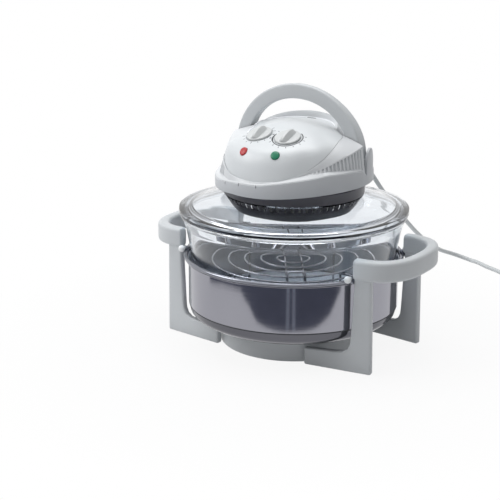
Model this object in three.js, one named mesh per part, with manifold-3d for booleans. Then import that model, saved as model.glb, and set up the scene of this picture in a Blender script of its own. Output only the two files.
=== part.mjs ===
// Halogen oven: a glass bowl in a stand, a wire rack in the bowl and a glass lid with a heating head.
// Millimetres, +Z up. The origin is on the bowl's axis, at the level of the table.
// The front, where the control panel faces, is -Y.
import * as THREE from "three";
import { mergeVertices } from "three/addons/utils/BufferGeometryUtils.js";
import Module from "manifold-3d";

const wasm = await Module();
wasm.setup();

// General clearances and counts
const gap = 0.3; // between pieces that touch
const cutOver = 2; // overrun of a cutting body past the face that it cuts
const weldDistance = 1e-3; // corners nearer than this are one
const leastEdge = 0.03; // shorter edges are closed up
const roundSteps = 32; // segments of the large round pieces
const smallSteps = 12; // segments of pins and knobs

// Glass bowl
const bowlBodyRadius = 158.5;
const bowlTop = 192.3;
const bowlWall = 5;
const bowlFloorThick = 6;
const bowlRimReach = 4.5;
const bowlRimRadius = bowlBodyRadius + bowlRimReach;
const bowlRimWidth = 9;
const bowlMouthRadius = bowlRimRadius - bowlRimWidth;
const bowlRimHeight = 5.5;
const bowlFootShare = 0.62;
const bowlWaistShare = 0.932;
const bowlWallShares = [
  [bowlFootShare, 0],
  [0.79, 0.045],
  [0.865, 0.125],
  [0.903, 0.27],
  [bowlWaistShare, 0.575],
  [0.981, 0.9],
  [1, 0.95],
];
const bowlFootRadius = bowlFootShare * bowlBodyRadius;
const bowlWaistRadius = bowlWaistShare * bowlBodyRadius;

// Base ring under the bowl's shell
const baseRingRadius = 106;
const baseRingWall = 8;
const baseRingHeight = 28.7;

// Steel shell round the lower half of the bowl
const shellClearance = 3.6;
const shellWall = 1.2;
const shellRadius = bowlWaistRadius + shellClearance + shellWall;
const shellBottom = 58.3;
const shellTop = 125.2;
const shellLipReach = 5;
const shellLipThick = 1.2;

// Dish that closes the shell from below
const dishWall = 1.5;
const dishDepthShares = [
  [1, 0],
  [0.982, 0.37],
  [0.915, 0.67],
  [0.8, 0.885],
  [0.697, 1],
];

// Wire ring that holds the shell to the four posts
const ringOutset = 4;
const ringRadius = shellRadius + ringOutset;
const ringWire = 6;
const clipWidth = 10;
const clipThick = 3;
const clipHeight = 10;
const clipMargin = 1.6;
const ballDiameter = 10;
const ballNeckDiameter = 5;
const ballNeckLength = 1.5;

// Side frames: two posts with feet and a hand grip on each side
const plateThick = 10;
const plateFrontAtFoot = 77.6;
const postRingGap = 2.1;
const postInnerFoot = Math.sqrt(ringRadius ** 2 - plateFrontAtFoot ** 2) + postRingGap;
const postInnerLean = 6.5;
const postInnerTop = postInnerFoot + postInnerLean;
const postWidth = 33;
const postOuterFoot = postInnerFoot + postWidth;
const postOuterLean = 2.5;
const postOuterTop = postOuterFoot - postOuterLean;
const armInnerEnd = 72;
const armHeight = 27;
const armEndHeight = 25;
const armFillet = 24;
const armRingGap = 2;
const armEndDepth = Math.sqrt(baseRingRadius ** 2 - armInnerEnd ** 2) + armRingGap + plateThick;
const plateTurn = Math.asin((armEndDepth - plateFrontAtFoot) / (postOuterFoot - armInnerEnd));
const gripBottom = 133;
const gripHeight = 28.5;
const gripOverhang = 5.4;
const gripHalfDepth = plateFrontAtFoot + gripOverhang;
const gripOverPost = 2.5;
const gripStart = postInnerTop - gripOverPost;
const gripReach = 66;
const gripThick = 16;
const gripRounding = 5;
const gripPower = 2.6;
const gripSteps = 22;

// Wire rack standing in the bowl
const rackTop = 121.3;
const rackRings = 5;
const rackSideGap = 24.7;
const rackRingRadius = bowlWaistRadius - bowlWall - rackSideGap;
const rackPitch = rackRingRadius / rackRings;
const rackRingWire = 3;
const rackBarWire = 3.2;
const rackBarSpacing = 24;
const rackLoopRise = 17;
const rackLegGap = 3.3;
const rackLegRadius = bowlFootRadius - bowlWall - rackLegGap;
const rackTurn = THREE.MathUtils.degToRad(-56.6);

// Glass lid
const lidOverhang = 2;
const lidRadius = bowlRimRadius + lidOverhang;
const lidRimHeight = 8;
const lidRimBevelShare = 0.2;
const lidGlass = 4;
const lidStepDepth = 3;
const lidStepGap = 1;
const lidStepWidth = 5;
const lidRise = 28.5;
const lidCurveShares = [
  [0.825, 0.34],
  [0.475, 0.63],
  [0.15, 0.9],
];

// Outer radius of the head, and the carrying handle that stands inside it and spans the rear cover
const headRadius = 113;
const handleInset = 10;
const handleHalfWidth = headRadius - handleInset;
const handleThick = 19;

// Collar that clamps the lid to the head
const headOverCollar = 12;
const collarRadius = headRadius - headOverCollar;
const lidUnderCollar = 2;
const lidHoleRadius = collarRadius - lidUnderCollar;
const collarHeight = 15;
const collarWall = 2;
const collarFlange = 41;
const collarBore = collarRadius - collarFlange;

// Dark spacer between the collar and the head
const spacerInset = 5;
const spacerRadius = collarRadius - spacerInset;
const spacerHeight = 6.4;

// Slotted guard round the lamp
const guardLidGap = 2;
const guardRadius = lidHoleRadius - guardLidGap;
const guardWall = 2;
const guardFootInset = 15;
const guardFootRadius = guardRadius - guardFootInset;
const guardFootDrop = 26;
const guardTaper = 19;
const guardSlots = 20;
const guardSlotWidth = 9;
const guardSlotHeight = 8;
const guardSlotLift = 3.5;

// Wire grille under the lamp
const grilleWire = 3;
const grilleRings = 2;

// Reflector, lamp and its two holders
const reflectorThick = 1.5;
const reflectorLevel = 6;
const reflectorRim = 3;
const reflectorBore = 7;
const lampTube = 9;
const lampInset = 20;
const lampRadius = guardFootRadius - lampInset;
const lampDrop = 21;
const lampEndsApart = 27.9;
const lampOpening = 2 * Math.asin(lampEndsApart / 2 / lampRadius);
const lampSteps = 26;
const holderWidth = 13;
const holderLength = 11;
const lampGap = 0.8;

// Hot air fan, shaft, motor and cooling fan
const shaftDiameter = 6;
const fanLampGap = 7.5;
const fanRadius = lampRadius - lampTube / 2 - fanLampGap;
const fanHubDiameter = 18;
const fanHeight = 9;
const fanBlades = 8;
const bladeThick = 1.6;
const fanUnderReflector = 3;
const motorWidth = 58;
const motorDepth = 50;
const motorHeight = 34;
const coolFanHeight = 9;
const coolFanAbove = 5;
const shaftOverFan = 3;

// Head: lower housing
const headWall = 2.5;
const floorThick = 1.6;
const floorBore = 26;
const skirtDip = 10.6;
const skirtRise = 9.4;
const skirtRun = 40;
const seamLipWidth = 2.2;
const leftDrop = 8;
const leftDropAngles = [0, 15, 40, 62, 80, 100];
const leftDropShares = [0, 0.1, 0.75, 1, 0.7, 0];
const seamLipHeight = 3;
const seamBevel = 1;
const seamTop = 29.5;
const seamAngles = [-180, -165, -150, -135, -123, -101, -86, -73, -57, -45, -33, -18, -2, 4];
const seamShares = [0.6, 0.44, 0.35, 0.32, 0.356, 0.461, 0.49, 0.62, 0.786, 0.895, 1, 1, 0.9, 0.66];
const wrapAngle = 176;
const deckShare = 0.66;

// Head: upper housing with its shoulders and rear cover
const shoulderWall = 2.5;
const shoulderTop = 60.5;
const slotAngle = 92;
const chamferWidth = 5.5;
const chamferHeight = 4.5;
const chamferAngles = [0, 15, 40, 60, 78, slotAngle];
const chamferRiseShares = [0.32, 0.32, 0.87, 0.6, 0.3, 0.1];
const chamferWidthShares = [0.32, 0.32, 1, 1, 0.4, 0];
const shoulderAngles = [0, 20, 33, 46, 60, 75, 90, slotAngle];
const shoulderShares = [0.26, 0.33, 0.435, 0.555, 0.7, 0.86, 0.985, 1];
const shoulderLean = 4.5;
const leftLean = 7;
const leftLeanAngles = [0, 40, 60, 76, 86, slotAngle];
const leftLeanShares = [0, 0, 0.8, 1, 0.7, 0.3];
const shoulderBow = 1.2;
const coverHandleGap = 4;
const coverHalfWidth = handleHalfWidth - handleThick - coverHandleGap;
const coverFlattening = 7.5;
const coverRadius = coverHalfWidth - coverFlattening;
const hoodWidth = 4;
const deckThick = 1.3;

// Head: domed control panel
const domeTop = 86.5;
const domeWall = 3;
const domeEdgeAngles = [0, 20, 38, 51, 66, 78, 90, slotAngle, 97, 106, 120, 150, 180];
const domeEdgeShares = [0.945, 0.945, 0.915, 0.885, 0.8, 0.735, 0.685, 0.67, 0.56, 0.51, 0.49, 0.46, 0.45];
const domeLevelShares = [0.2, 0.235, 0.375, 0.53, 0.69, 0.785, 0.82, 0.826, 0.895, 0.91, 0.925, 0.945, 0.948];
const leftEdgeAngles = [0, 44, 53, 60, 72, 82, 90, 97];
const leftEdgeShares = [1, 1, 0.91, 0.86, 0.8, 0.815, 0.87, 1];
const bulgeShares = [1, 0.975, 0.94, 0.87, 0.77, 0.545, 0.27, 0];
const bulgeFrontShares = [0, 0.19, 0.39, 0.57, 0.66, 0.8, 0.935, 1];
const bulgeInsideShares = [1, 0.94, 0.77, 0.545, 0];
const bulgeFullTo = 30;
const bulgeEndsAt = 80;

// Knobs, indicators and what stands behind them
const knobSpread = 46;
const knobInset = 57;
const knobForward = headRadius - knobInset;
const knobDiameter = 36.5;
const knobThick = 5;
const knobBevel = 1;
const knobGripWidth = 8;
const knobGripLength = 31;
const knobGripHeight = 6.5;
const knobStem = 5.6;
const knobSeatDiameter = 38.6;
const knobSeatDepth = 1.4;
const knobBushDiameter = 16;
const knobBushDepth = 6.3;
const dialUnitDiameter = 32;
const dialUnitDepth = 20;
const coolFanDialGap = 7;
const coolFanRadius = knobForward - dialUnitDiameter / 2 - coolFanDialGap;
const lensSpread = 51;
const lensInset = 21;
const lensForward = headRadius - lensInset;
const lensDiameter = 12.4;
const lensProud = 1.2;
const lensFlangeDiameter = 17;
const lensFlangeDepth = 4;
const lensBodyDepth = 14;

// Carrying handle of the head, with its two pins and the ears outside them
const pivotY = 15;
const pivotLevel = 31.6;
const handleFlattening = 7;
const handleArchRise = handleHalfWidth - handleFlattening;
const handleArchFoot = 9.5;
const handleCrownThick = 21;
const handleDepth = 20;
const handleDepthShares = [1, 0.985, 0.9, 0.76, 0.62, 0.55, 0.52, 0.52];
const handleRounding = 3;
const handleSteps = 26;
const bossDiameter = 17;
const pinDiameter = 8;
const earHalfDepth = 14;
const earForward = 6.5;
const earRise = 24;
const earWall = 4;
const earSkin = 1.5;
const slotMargin = 1.4;

// Safety switch and terminal block inside the head
const switchWidth = 8;
const switchDepth = 20;
const switchHeight = 22;
const switchCoverGap = 17;
const switchPlace = coverHalfWidth - switchCoverGap;
const switchBehindPin = 9;
const terminalWidth = 30;
const terminalDepth = 13;
const terminalHeight = 12;
const terminalCoverGap = 13.5;
const terminalPlace = pivotY + coverRadius - terminalCoverGap;

// Power cord
const cordDiameter = 7;
const cordSides = 8;
const glandThroughDiameter = 8;
const glandFlangeDiameter = 10;
const glandFlangeThick = 2;
const glandTipDiameter = 8.4;
const glandTaper = 28;
const glandAboveFloor = 5.8;
const cordStep = 17;
const coilPitch = 8.8;
const coilOuter = 43;
const coilLayerTurns = 1;
const coilTail = 35;
const coilLoopSteps = 24;
const coilSides = 6;
const coilLift = 7.6;
const plugLength = 32;
const plugWidth = 30;
const plugNose = 9;
const plugNeckDiameter = 12;
const plugNeckLength = 10;
const pinReach = 17;
const plugPinDiameter = 4.8;
const plugPinSpread = 19;

// Colours
const lightGrey = 0xb9bfc1;
const panelGrey = 0xd3d7d9;
const skirtGrey = 0x9ba1a4;
const paleGrey = 0xdcdedf;
const steel = 0xb8bbc0;
const darkMetal = 0x55565c;
const nearBlack = 0x26262a;
const clearGlass = 0xe6ecf2;

const oven = new THREE.Group();

// Adds a named mesh with its own material to a group.
function addMesh(parent, name, geometry, colour, roughness, metalness) {
  const material = new THREE.MeshStandardMaterial({ color: colour, roughness, metalness });
  const mesh = new THREE.Mesh(geometry, material);
  mesh.name = name;
  parent.add(mesh);
  return mesh;
}

// Turns a closed geometry into a solid.
function toSolid(geometry) {
  const plain = geometry.index ? geometry.toNonIndexed() : geometry.clone();
  plain.deleteAttribute("normal");
  plain.deleteAttribute("uv");
  const merged = mergeVertices(plain, weldDistance);
  return new wasm.Manifold(
    new wasm.Mesh({
      numProp: 3,
      vertProperties: new Float32Array(merged.attributes.position.array),
      triVerts: new Uint32Array(merged.index.array),
    }),
  );
}

// Turns a solid back into a geometry, with its shortest edges closed up.
function toGeometry(solid) {
  const mesh = solid.getMesh();
  const corners = [];
  for (let i = 0; i < mesh.numVert; i++) {
    corners.push(new THREE.Vector3().fromArray(mesh.vertProperties, i * mesh.numProp));
  }
  const joined = corners.map((corner, i) => i);
  const find = (i) => (joined[i] === i ? i : find(joined[i]));
  const triangles = [];
  for (let i = 0; i < mesh.triVerts.length; i += 3) {
    triangles.push([mesh.triVerts[i], mesh.triVerts[i + 1], mesh.triVerts[i + 2]]);
  }
  for (const triangle of triangles) {
    triangle.forEach((a, i) => {
      const b = triangle[(i + 1) % 3];
      if (find(a) !== find(b) && corners[find(a)].distanceTo(corners[find(b)]) < leastEdge) {
        joined[find(a)] = find(b);
      }
    });
  }
  const index = triangles.map((triangle) => triangle.map(find)).filter(([a, b, c]) => a !== b && b !== c && c !== a);
  const geometry = new THREE.BufferGeometry().setFromPoints(corners);
  geometry.setIndex(index.flat());
  geometry.computeVertexNormals();
  return geometry;
}

function join(geometries) {
  let solid = toSolid(geometries[0]);
  for (const other of geometries.slice(1)) {
    solid = solid.add(toSolid(other));
  }
  return toGeometry(solid);
}

function cut(geometry, cutters) {
  let solid = toSolid(geometry);
  for (const cutter of cutters) {
    solid = solid.subtract(toSolid(cutter));
  }
  return toGeometry(solid);
}

function common(first, second) {
  return toGeometry(toSolid(first).intersect(toSolid(second)));
}

// A solid of revolution about Z from [radius, height] points, counter-clockwise in that plane.
function revolve(points, steps = roundSteps, closed = true) {
  const profile = points.map((p) => new THREE.Vector2(p[0], p[1]));
  if (closed) {
    profile.push(profile[0].clone());
  }
  const geometry = new THREE.LatheGeometry(profile, steps);
  geometry.rotateX(Math.PI / 2);
  return geometry;
}

// An upright cylinder or cone that stands on the level z.
function upright(radius, height, z = 0, steps = smallSteps, topRadius = radius) {
  const geometry = new THREE.CylinderGeometry(topRadius, radius, height, steps);
  geometry.rotateX(Math.PI / 2);
  geometry.translate(0, 0, z + height / 2);
  return geometry;
}

// A box between two corners.
function block(x0, y0, z0, x1, y1, z1) {
  const geometry = new THREE.BoxGeometry(x1 - x0, y1 - y0, z1 - z0);
  geometry.translate((x0 + x1) / 2, (y0 + y1) / 2, (z0 + z1) / 2);
  return geometry;
}

// A bar along X between two places, centred on y and z.
function barX(radius, x0, x1, y, z, steps = smallSteps) {
  const geometry = new THREE.CylinderGeometry(radius, radius, Math.abs(x1 - x0), steps);
  geometry.rotateZ(Math.PI / 2);
  geometry.translate((x0 + x1) / 2, y, z);
  return geometry;
}

// A tube with closed ends along a curve.
function tubeAlong(curve, radius, steps, sides) {
  const section = new THREE.Shape();
  for (let i = 0; i < sides; i++) {
    const angle = (2 * Math.PI * (i + 0.5)) / sides;
    const x = radius * Math.cos(angle);
    const y = radius * Math.sin(angle);
    if (i === 0) {
      section.moveTo(x, y);
    } else {
      section.lineTo(x, y);
    }
  }
  section.closePath();
  return new THREE.ExtrudeGeometry(section, { steps, extrudePath: curve, bevelEnabled: false, curveSegments: 1 });
}

// A polyline as a curve, walked at an even rate from point to point.
class Polyline extends THREE.Curve {
  constructor(points) {
    super();
    this.points = points;
  }
  getPoint(t, target = new THREE.Vector3()) {
    const place = t * (this.points.length - 1);
    const index = Math.min(Math.floor(place), this.points.length - 2);
    return target.copy(this.points[index]).lerp(this.points[index + 1], place - index);
  }
  getPointAt(u, target) {
    return this.getPoint(u, target);
  }
}

function wireRing(radius, wire, z, steps, sides = 6) {
  const geometry = new THREE.TorusGeometry(radius, wire / 2, sides, steps);
  geometry.translate(0, 0, z);
  return geometry;
}

// Linear reading of a table of values over angles.
function readTable(places, values, at) {
  if (at <= places[0]) {
    return values[0];
  }
  for (let i = 1; i < places.length; i++) {
    if (at <= places[i]) {
      const part = (at - places[i - 1]) / (places[i] - places[i - 1]);
      return values[i - 1] + part * (values[i] - values[i - 1]);
    }
  }
  return values[values.length - 1];
}

// A ring-shaped loft about Z: profileAt(angle) gives a closed loop of [radius, height] points.
function loftRing(angles, profileAt) {
  const loops = angles.map((angle) => profileAt(angle));
  const size = loops[0].length;
  const points = [];
  loops.forEach((loop, i) => {
    const turn = THREE.MathUtils.degToRad(angles[i]);
    for (const [radius, height] of loop) {
      points.push(radius * Math.cos(turn), radius * Math.sin(turn), height);
    }
  });
  const index = [];
  for (let i = 0; i < loops.length; i++) {
    const next = (i + 1) % loops.length;
    for (let j = 0; j < size; j++) {
      const after = (j + 1) % size;
      const a = i * size + j;
      const b = next * size + j;
      const c = next * size + after;
      const d = i * size + after;
      index.push(a, b, c, a, c, d);
    }
  }
  const geometry = new THREE.BufferGeometry();
  geometry.setAttribute("position", new THREE.Float32BufferAttribute(points, 3));
  geometry.setIndex(index);
  return geometry;
}

// A domed loft about Z: the profile runs from the upper pole out to the edge and back to the lower pole.
function loftDome(angles, profileAt) {
  const loops = angles.map((angle) => profileAt(angle));
  const size = loops[0].length;
  const inner = size - 2;
  const points = [0, 0, loops[0][0][1], 0, 0, loops[0][size - 1][1]];
  loops.forEach((loop, i) => {
    const turn = THREE.MathUtils.degToRad(angles[i]);
    for (let j = 1; j < size - 1; j++) {
      points.push(loop[j][0] * Math.cos(turn), loop[j][0] * Math.sin(turn), loop[j][1]);
    }
  });
  const index = [];
  for (let i = 0; i < loops.length; i++) {
    const next = (i + 1) % loops.length;
    const here = 2 + i * inner;
    const there = 2 + next * inner;
    index.push(0, here, there);
    for (let j = 0; j < inner - 1; j++) {
      index.push(here + j, here + j + 1, there + j + 1);
      index.push(here + j, there + j + 1, there + j);
    }
    index.push(1, there + inner - 1, here + inner - 1);
  }
  const geometry = new THREE.BufferGeometry();
  geometry.setAttribute("position", new THREE.Float32BufferAttribute(points, 3));
  geometry.setIndex(index);
  return geometry;
}

// Base ring, dish, shell and wire ring
const dishFloor = baseRingHeight + gap;
const dishTop = shellBottom - gap;
const dishRise = dishTop - dishFloor;

function dishProfile(inset, lift) {
  return dishDepthShares.map(([radiusShare, depthShare]) => [
    radiusShare * shellRadius - inset,
    dishTop - depthShare * dishRise + lift * depthShare,
  ]);
}

const baseRing = revolve([
  [baseRingRadius - baseRingWall, 0],
  [baseRingRadius, 0],
  [baseRingRadius, baseRingHeight],
  [baseRingRadius - baseRingWall, baseRingHeight],
]);
addMesh(oven, "base_ring", baseRing, lightGrey, 0.45, 0);

const dishOutside = dishProfile(gap, 0).reverse();
const dishInside = dishProfile(gap + dishWall, dishWall);
const dish = revolve([[0, dishFloor], ...dishOutside, ...dishInside, [0, dishFloor + dishWall]], roundSteps, false);
addMesh(oven, "shell_base", dish, steel, 0.3, 0.9);

const lipRadius = shellRadius + shellLipReach;
const shell = revolve([
  [shellRadius - shellWall, shellBottom],
  [shellRadius, shellBottom],
  [shellRadius, shellTop - shellLipThick],
  [lipRadius, shellTop - shellLipThick],
  [lipRadius, shellTop],
  [shellRadius - shellWall, shellTop],
]);
addMesh(oven, "steel_shell", shell, steel, 0.2, 1);

const ringLevel = shellTop + gap + ringWire / 2;
const postBlend = (z) => postInnerFoot + ((postInnerTop - postInnerFoot) * z) / gripBottom;
const clipLevel = ringLevel + clipHeight / 4;
const clipOuterX = postBlend(clipLevel - clipHeight / 2) - clipMargin;
const clipInnerX = clipOuterX - clipWidth;
const clipMiddleX = (clipInnerX + clipOuterX) / 2;
const clipMiddleY = Math.sqrt(ringRadius ** 2 - clipMiddleX ** 2) + ringWire / 2;

const ringParts = [wireRing(ringRadius, ringWire, ringLevel, roundSteps, 6)];
const corners = [
  ["front_left", -1, -1],
  ["front_right", 1, -1],
  ["rear_left", -1, 1],
  ["rear_right", 1, 1],
];
for (const [, sideX, sideY] of corners) {
  const near = sideY * (clipMiddleY - clipThick / 2);
  const far = sideY * (clipMiddleY + clipThick / 2);
  const clip = block(
    Math.min(sideX * clipInnerX, sideX * clipOuterX),
    Math.min(near, far),
    clipLevel - clipHeight / 2,
    Math.max(sideX * clipInnerX, sideX * clipOuterX),
    Math.max(near, far),
    clipLevel + clipHeight / 2,
  );
  ringParts.push(clip);
}
addMesh(oven, "support_ring", join(ringParts), steel, 0.2, 1);

for (const [name, sideX, sideY] of corners) {
  const ball = new THREE.SphereGeometry(ballDiameter / 2, 8, 5);
  const neck = new THREE.CylinderGeometry(ballNeckDiameter / 2, ballNeckDiameter / 2, ballDiameter / 2 + ballNeckLength, 8);
  neck.translate(0, (-sideY * (ballDiameter / 2 + ballNeckLength)) / 2, 0);
  const knob = addMesh(oven, "ring_knob_" + name, join([ball, neck]), paleGrey, 0.35, 0);
  const outward = clipMiddleY + clipThick / 2 + gap + ballNeckLength + ballDiameter / 2;
  knob.position.set(sideX * clipMiddleX, sideY * outward, clipLevel + clipHeight / 4);
}

// Side frames
function frameOutline() {
  const outline = new THREE.Shape();
  outline.moveTo(armInnerEnd, 0);
  outline.lineTo(postOuterFoot, 0);
  outline.lineTo(postOuterTop, gripBottom + gripRounding);
  outline.lineTo(postInnerTop, gripBottom + gripRounding);
  const filletTop = armHeight + armFillet;
  const innerAtFillet = postBlend(filletTop);
  outline.lineTo(innerAtFillet, filletTop);
  outline.quadraticCurveTo(postInnerFoot, armHeight, innerAtFillet - armFillet, armHeight);
  outline.lineTo(armInnerEnd, armEndHeight);
  outline.closePath();
  return outline;
}

function superArc(halfDepth, reach, start, steps) {
  const points = [];
  for (let i = 0; i <= steps; i++) {
    const turn = -Math.PI / 2 + (Math.PI * i) / steps;
    const cosine = Math.max(Math.cos(turn), 0);
    const sine = Math.sin(turn);
    const x = start + reach * cosine ** (2 / gripPower);
    const y = halfDepth * Math.sign(sine) * Math.abs(sine) ** (2 / gripPower);
    points.push(new THREE.Vector2(x, y));
  }
  return points;
}

function sideFrame() {
  const rounding = gripRounding;
  const outer = superArc(gripHalfDepth - rounding, gripReach - rounding, gripStart + rounding, gripSteps);
  const inner = superArc(
    gripHalfDepth - gripThick + rounding,
    gripReach - gripThick + rounding,
    gripStart + rounding,
    gripSteps,
  ).reverse();
  const plan = new THREE.Shape([...outer, ...inner]);
  const grip = new THREE.ExtrudeGeometry(plan, {
    depth: gripHeight - 2 * rounding,
    bevelEnabled: true,
    bevelThickness: rounding,
    bevelSize: rounding,
    bevelSegments: 2,
    curveSegments: 1,
  });
  grip.translate(0, 0, gripBottom + rounding);
  const parts = [grip];
  for (const sideY of [-1, 1]) {
    const plate = new THREE.ExtrudeGeometry(frameOutline(), {
      depth: plateThick,
      bevelEnabled: false,
      curveSegments: 5,
    });
    plate.rotateX(Math.PI / 2);
    if (sideY > 0) {
      plate.translate(-postOuterFoot, plateThick, 0);
    } else {
      plate.translate(-postOuterFoot, 0, 0);
    }
    if (sideY < 0) {
      plate.translate(0, plateThick, 0);
      plate.rotateZ(plateTurn);
    } else {
      plate.translate(0, -plateThick, 0);
      plate.rotateZ(-plateTurn);
    }
    plate.translate(postOuterFoot, sideY * plateFrontAtFoot, 0);
    parts.push(plate);
  }
  const frame = join(parts);
  const clearRing = upright(baseRingRadius + gap, baseRingHeight + cutOver, -cutOver / 2, roundSteps);
  return cut(frame, [clearRing]);
}

const frameRight = sideFrame();
addMesh(oven, "side_frame_right", frameRight, lightGrey, 0.45, 0);
const mirrored = frameRight.toNonIndexed();
mirrored.applyMatrix4(new THREE.Matrix4().makeScale(-1, 1, 1));
const flipped = mirrored.attributes.position.array;
for (let i = 0; i < flipped.length; i += 9) {
  for (let k = 0; k < 3; k++) {
    const kept = flipped[i + 3 + k];
    flipped[i + 3 + k] = flipped[i + 6 + k];
    flipped[i + 6 + k] = kept;
  }
}
addMesh(oven, "side_frame_left", mirrored, lightGrey, 0.45, 0);

// Bowl
const bowlBottom = dishFloor + dishWall + gap;
const bowlRise = bowlTop - bowlRimHeight - bowlBottom;

const bowlOutside = bowlWallShares.map(([radiusShare, riseShare]) => [
  radiusShare * bowlBodyRadius,
  bowlBottom + riseShare * bowlRise,
]);
const bowlInside = bowlWallShares
  .slice(0, -1)
  .map(([radiusShare, riseShare], i) => [
    radiusShare * bowlBodyRadius - bowlWall,
    bowlBottom + riseShare * bowlRise + (i < 2 ? bowlFloorThick : 0),
  ])
  .reverse();
const bowl = revolve(
  [
    [0, bowlBottom],
    ...bowlOutside,
    [bowlRimRadius, bowlTop - bowlRimHeight],
    [bowlRimRadius, bowlTop],
    [bowlMouthRadius, bowlTop],
    ...bowlInside,
    [0, bowlBottom + bowlFloorThick],
  ],
  roundSteps,
  false,
);
addMesh(oven, "glass_bowl", bowl, clearGlass, 0.05, 0);

// Rack
const rackFloor = bowlBottom + bowlFloorThick + gap;
const rackParts = [];
for (let i = 1; i <= rackRings; i++) {
  rackParts.push(wireRing(i * rackPitch, rackRingWire, rackTop, 6 + 4 * i, 5));
}
const rackWire = rackBarWire / 2;
const barLevel = rackTop - rackRingWire / 2 - rackWire / 2;
for (const side of [-1, 1]) {
  rackParts.push(barX(rackWire, -rackRingRadius, rackRingRadius, (side * rackBarSpacing) / 2, barLevel, 5));
}
for (const end of [-1, 1]) {
  const loopTop = barX(rackWire, -rackBarSpacing / 2, rackBarSpacing / 2, 0, barLevel + rackLoopRise, 5);
  loopTop.rotateZ(Math.PI / 2);
  loopTop.translate(end * (rackRingRadius - rackWire), 0, 0);
  rackParts.push(loopTop);
  for (const side of [-1, 1]) {
    const post = upright(rackWire, rackLoopRise + rackBarWire, barLevel - rackWire, 5);
    post.translate(end * (rackRingRadius - rackWire), (side * rackBarSpacing) / 2, 0);
    rackParts.push(post);
  }
}
for (let i = 0; i < 4; i++) {
  const turn = ((i + 0.5) * Math.PI) / 2;
  const leg = upright(rackWire, barLevel - rackFloor, rackFloor, 5);
  leg.translate(rackLegRadius, 0, 0);
  const arm = barX(rackWire, rackLegRadius - rackWire, rackRingRadius + rackWire, 0, barLevel, 5);
  leg.rotateZ(turn);
  arm.rotateZ(turn);
  rackParts.push(leg, arm);
}
const rack = join(rackParts);
rack.rotateZ(rackTurn);
addMesh(oven, "wire_rack", rack, steel, 0.25, 1);

// Lid
const lidBottom = bowlTop + gap;
const lidStepOuter = bowlMouthRadius - lidStepGap;
const lidTopLevel = lidBottom + lidRise;
const lidCurve = (drop) =>
  lidCurveShares.map(([radiusShare, riseShare]) => [
    lidHoleRadius + radiusShare * (lidRadius - lidHoleRadius),
    lidBottom + riseShare * lidRise - drop,
  ]);
const lid = revolve([
  [lidHoleRadius, lidTopLevel - lidGlass],
  ...lidCurve(lidGlass).reverse().slice(0, 2),
  [lidStepOuter - lidStepWidth, lidBottom + lidGlass / 2],
  [lidStepOuter - lidStepWidth, lidBottom - lidStepDepth],
  [lidStepOuter, lidBottom - lidStepDepth],
  [lidStepOuter, lidBottom],
  [lidRadius, lidBottom],
  [lidRadius, lidBottom + lidRimHeight * (1 - lidRimBevelShare)],
  [lidRadius - lidRimHeight * lidRimBevelShare, lidBottom + lidRimHeight],
  ...lidCurve(0),
  [lidHoleRadius, lidTopLevel],
]);
addMesh(oven, "glass_lid", lid, clearGlass, 0.05, 0);

// Collar, spacer, guard, grille, reflector and lamp
const collarBottom = lidTopLevel + gap;
const collarTop = collarBottom + collarHeight;
const collar = revolve([
  [collarBore, collarTop - collarWall],
  [collarRadius - collarWall, collarTop - collarWall],
  [collarRadius - collarWall, collarBottom],
  [collarRadius, collarBottom],
  [collarRadius, collarTop],
  [collarBore, collarTop],
]);
addMesh(oven, "lid_collar", collar, darkMetal, 0.35, 0.8);

const spacerBottom = collarTop + gap;
const spacerTop = spacerBottom + spacerHeight;
const spacer = revolve([
  [collarBore, spacerBottom],
  [spacerRadius, spacerBottom],
  [spacerRadius, spacerTop],
  [collarBore, spacerTop],
]);
addMesh(oven, "heat_spacer", spacer, nearBlack, 0.6, 0);

const guardTop = collarTop - collarWall - gap;
const guardFoot = lidTopLevel - guardFootDrop;
const guardShoulder = guardFoot + guardTaper;
const guardRing = revolve([
  [guardFootRadius - guardWall, guardFoot],
  [guardFootRadius, guardFoot],
  [guardRadius, guardShoulder],
  [guardRadius, guardTop],
  [guardRadius - guardWall, guardTop],
  [guardRadius - guardWall, guardShoulder],
]);
const slotCutters = [];
const slotTop = guardShoulder + guardSlotLift;
for (let i = 0; i < guardSlots; i++) {
  const slot = block(
    guardFootRadius - guardWall - cutOver,
    -guardSlotWidth / 2,
    slotTop - guardSlotHeight,
    guardRadius + cutOver,
    guardSlotWidth / 2,
    slotTop,
  );
  slot.rotateZ((2 * Math.PI * i) / guardSlots);
  slotCutters.push(slot);
}
addMesh(oven, "lamp_guard", cut(guardRing, slotCutters), nearBlack, 0.4, 0.6);

const grilleRadius = guardFootRadius - guardWall - gap - grilleWire / 2;
const grilleLevel = guardFoot + grilleWire / 2;
const grilleParts = [];
for (let i = 1; i <= grilleRings; i++) {
  grilleParts.push(wireRing((grilleRadius * i) / grilleRings, grilleWire, grilleLevel, 8 + 8 * i, 4));
}
for (const turn of [0, Math.PI / 2]) {
  const spoke = barX(grilleWire / 2, -grilleRadius, grilleRadius, 0, grilleLevel, 5);
  spoke.rotateZ(turn + Math.PI / 4);
  grilleParts.push(spoke);
}
addMesh(oven, "lamp_grille", join(grilleParts), steel, 0.3, 1);

const reflectorBottom = lidTopLevel + reflectorLevel;
const reflectorRadius = guardRadius - guardWall - gap;
const reflector = revolve([
  [reflectorBore, reflectorBottom],
  [reflectorRadius - reflectorThick, reflectorBottom],
  [reflectorRadius - reflectorThick, reflectorBottom - reflectorRim],
  [reflectorRadius, reflectorBottom - reflectorRim],
  [reflectorRadius, reflectorBottom + reflectorThick],
  [reflectorBore, reflectorBottom + reflectorThick],
]);
addMesh(oven, "reflector", reflector, steel, 0.15, 1);

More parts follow.
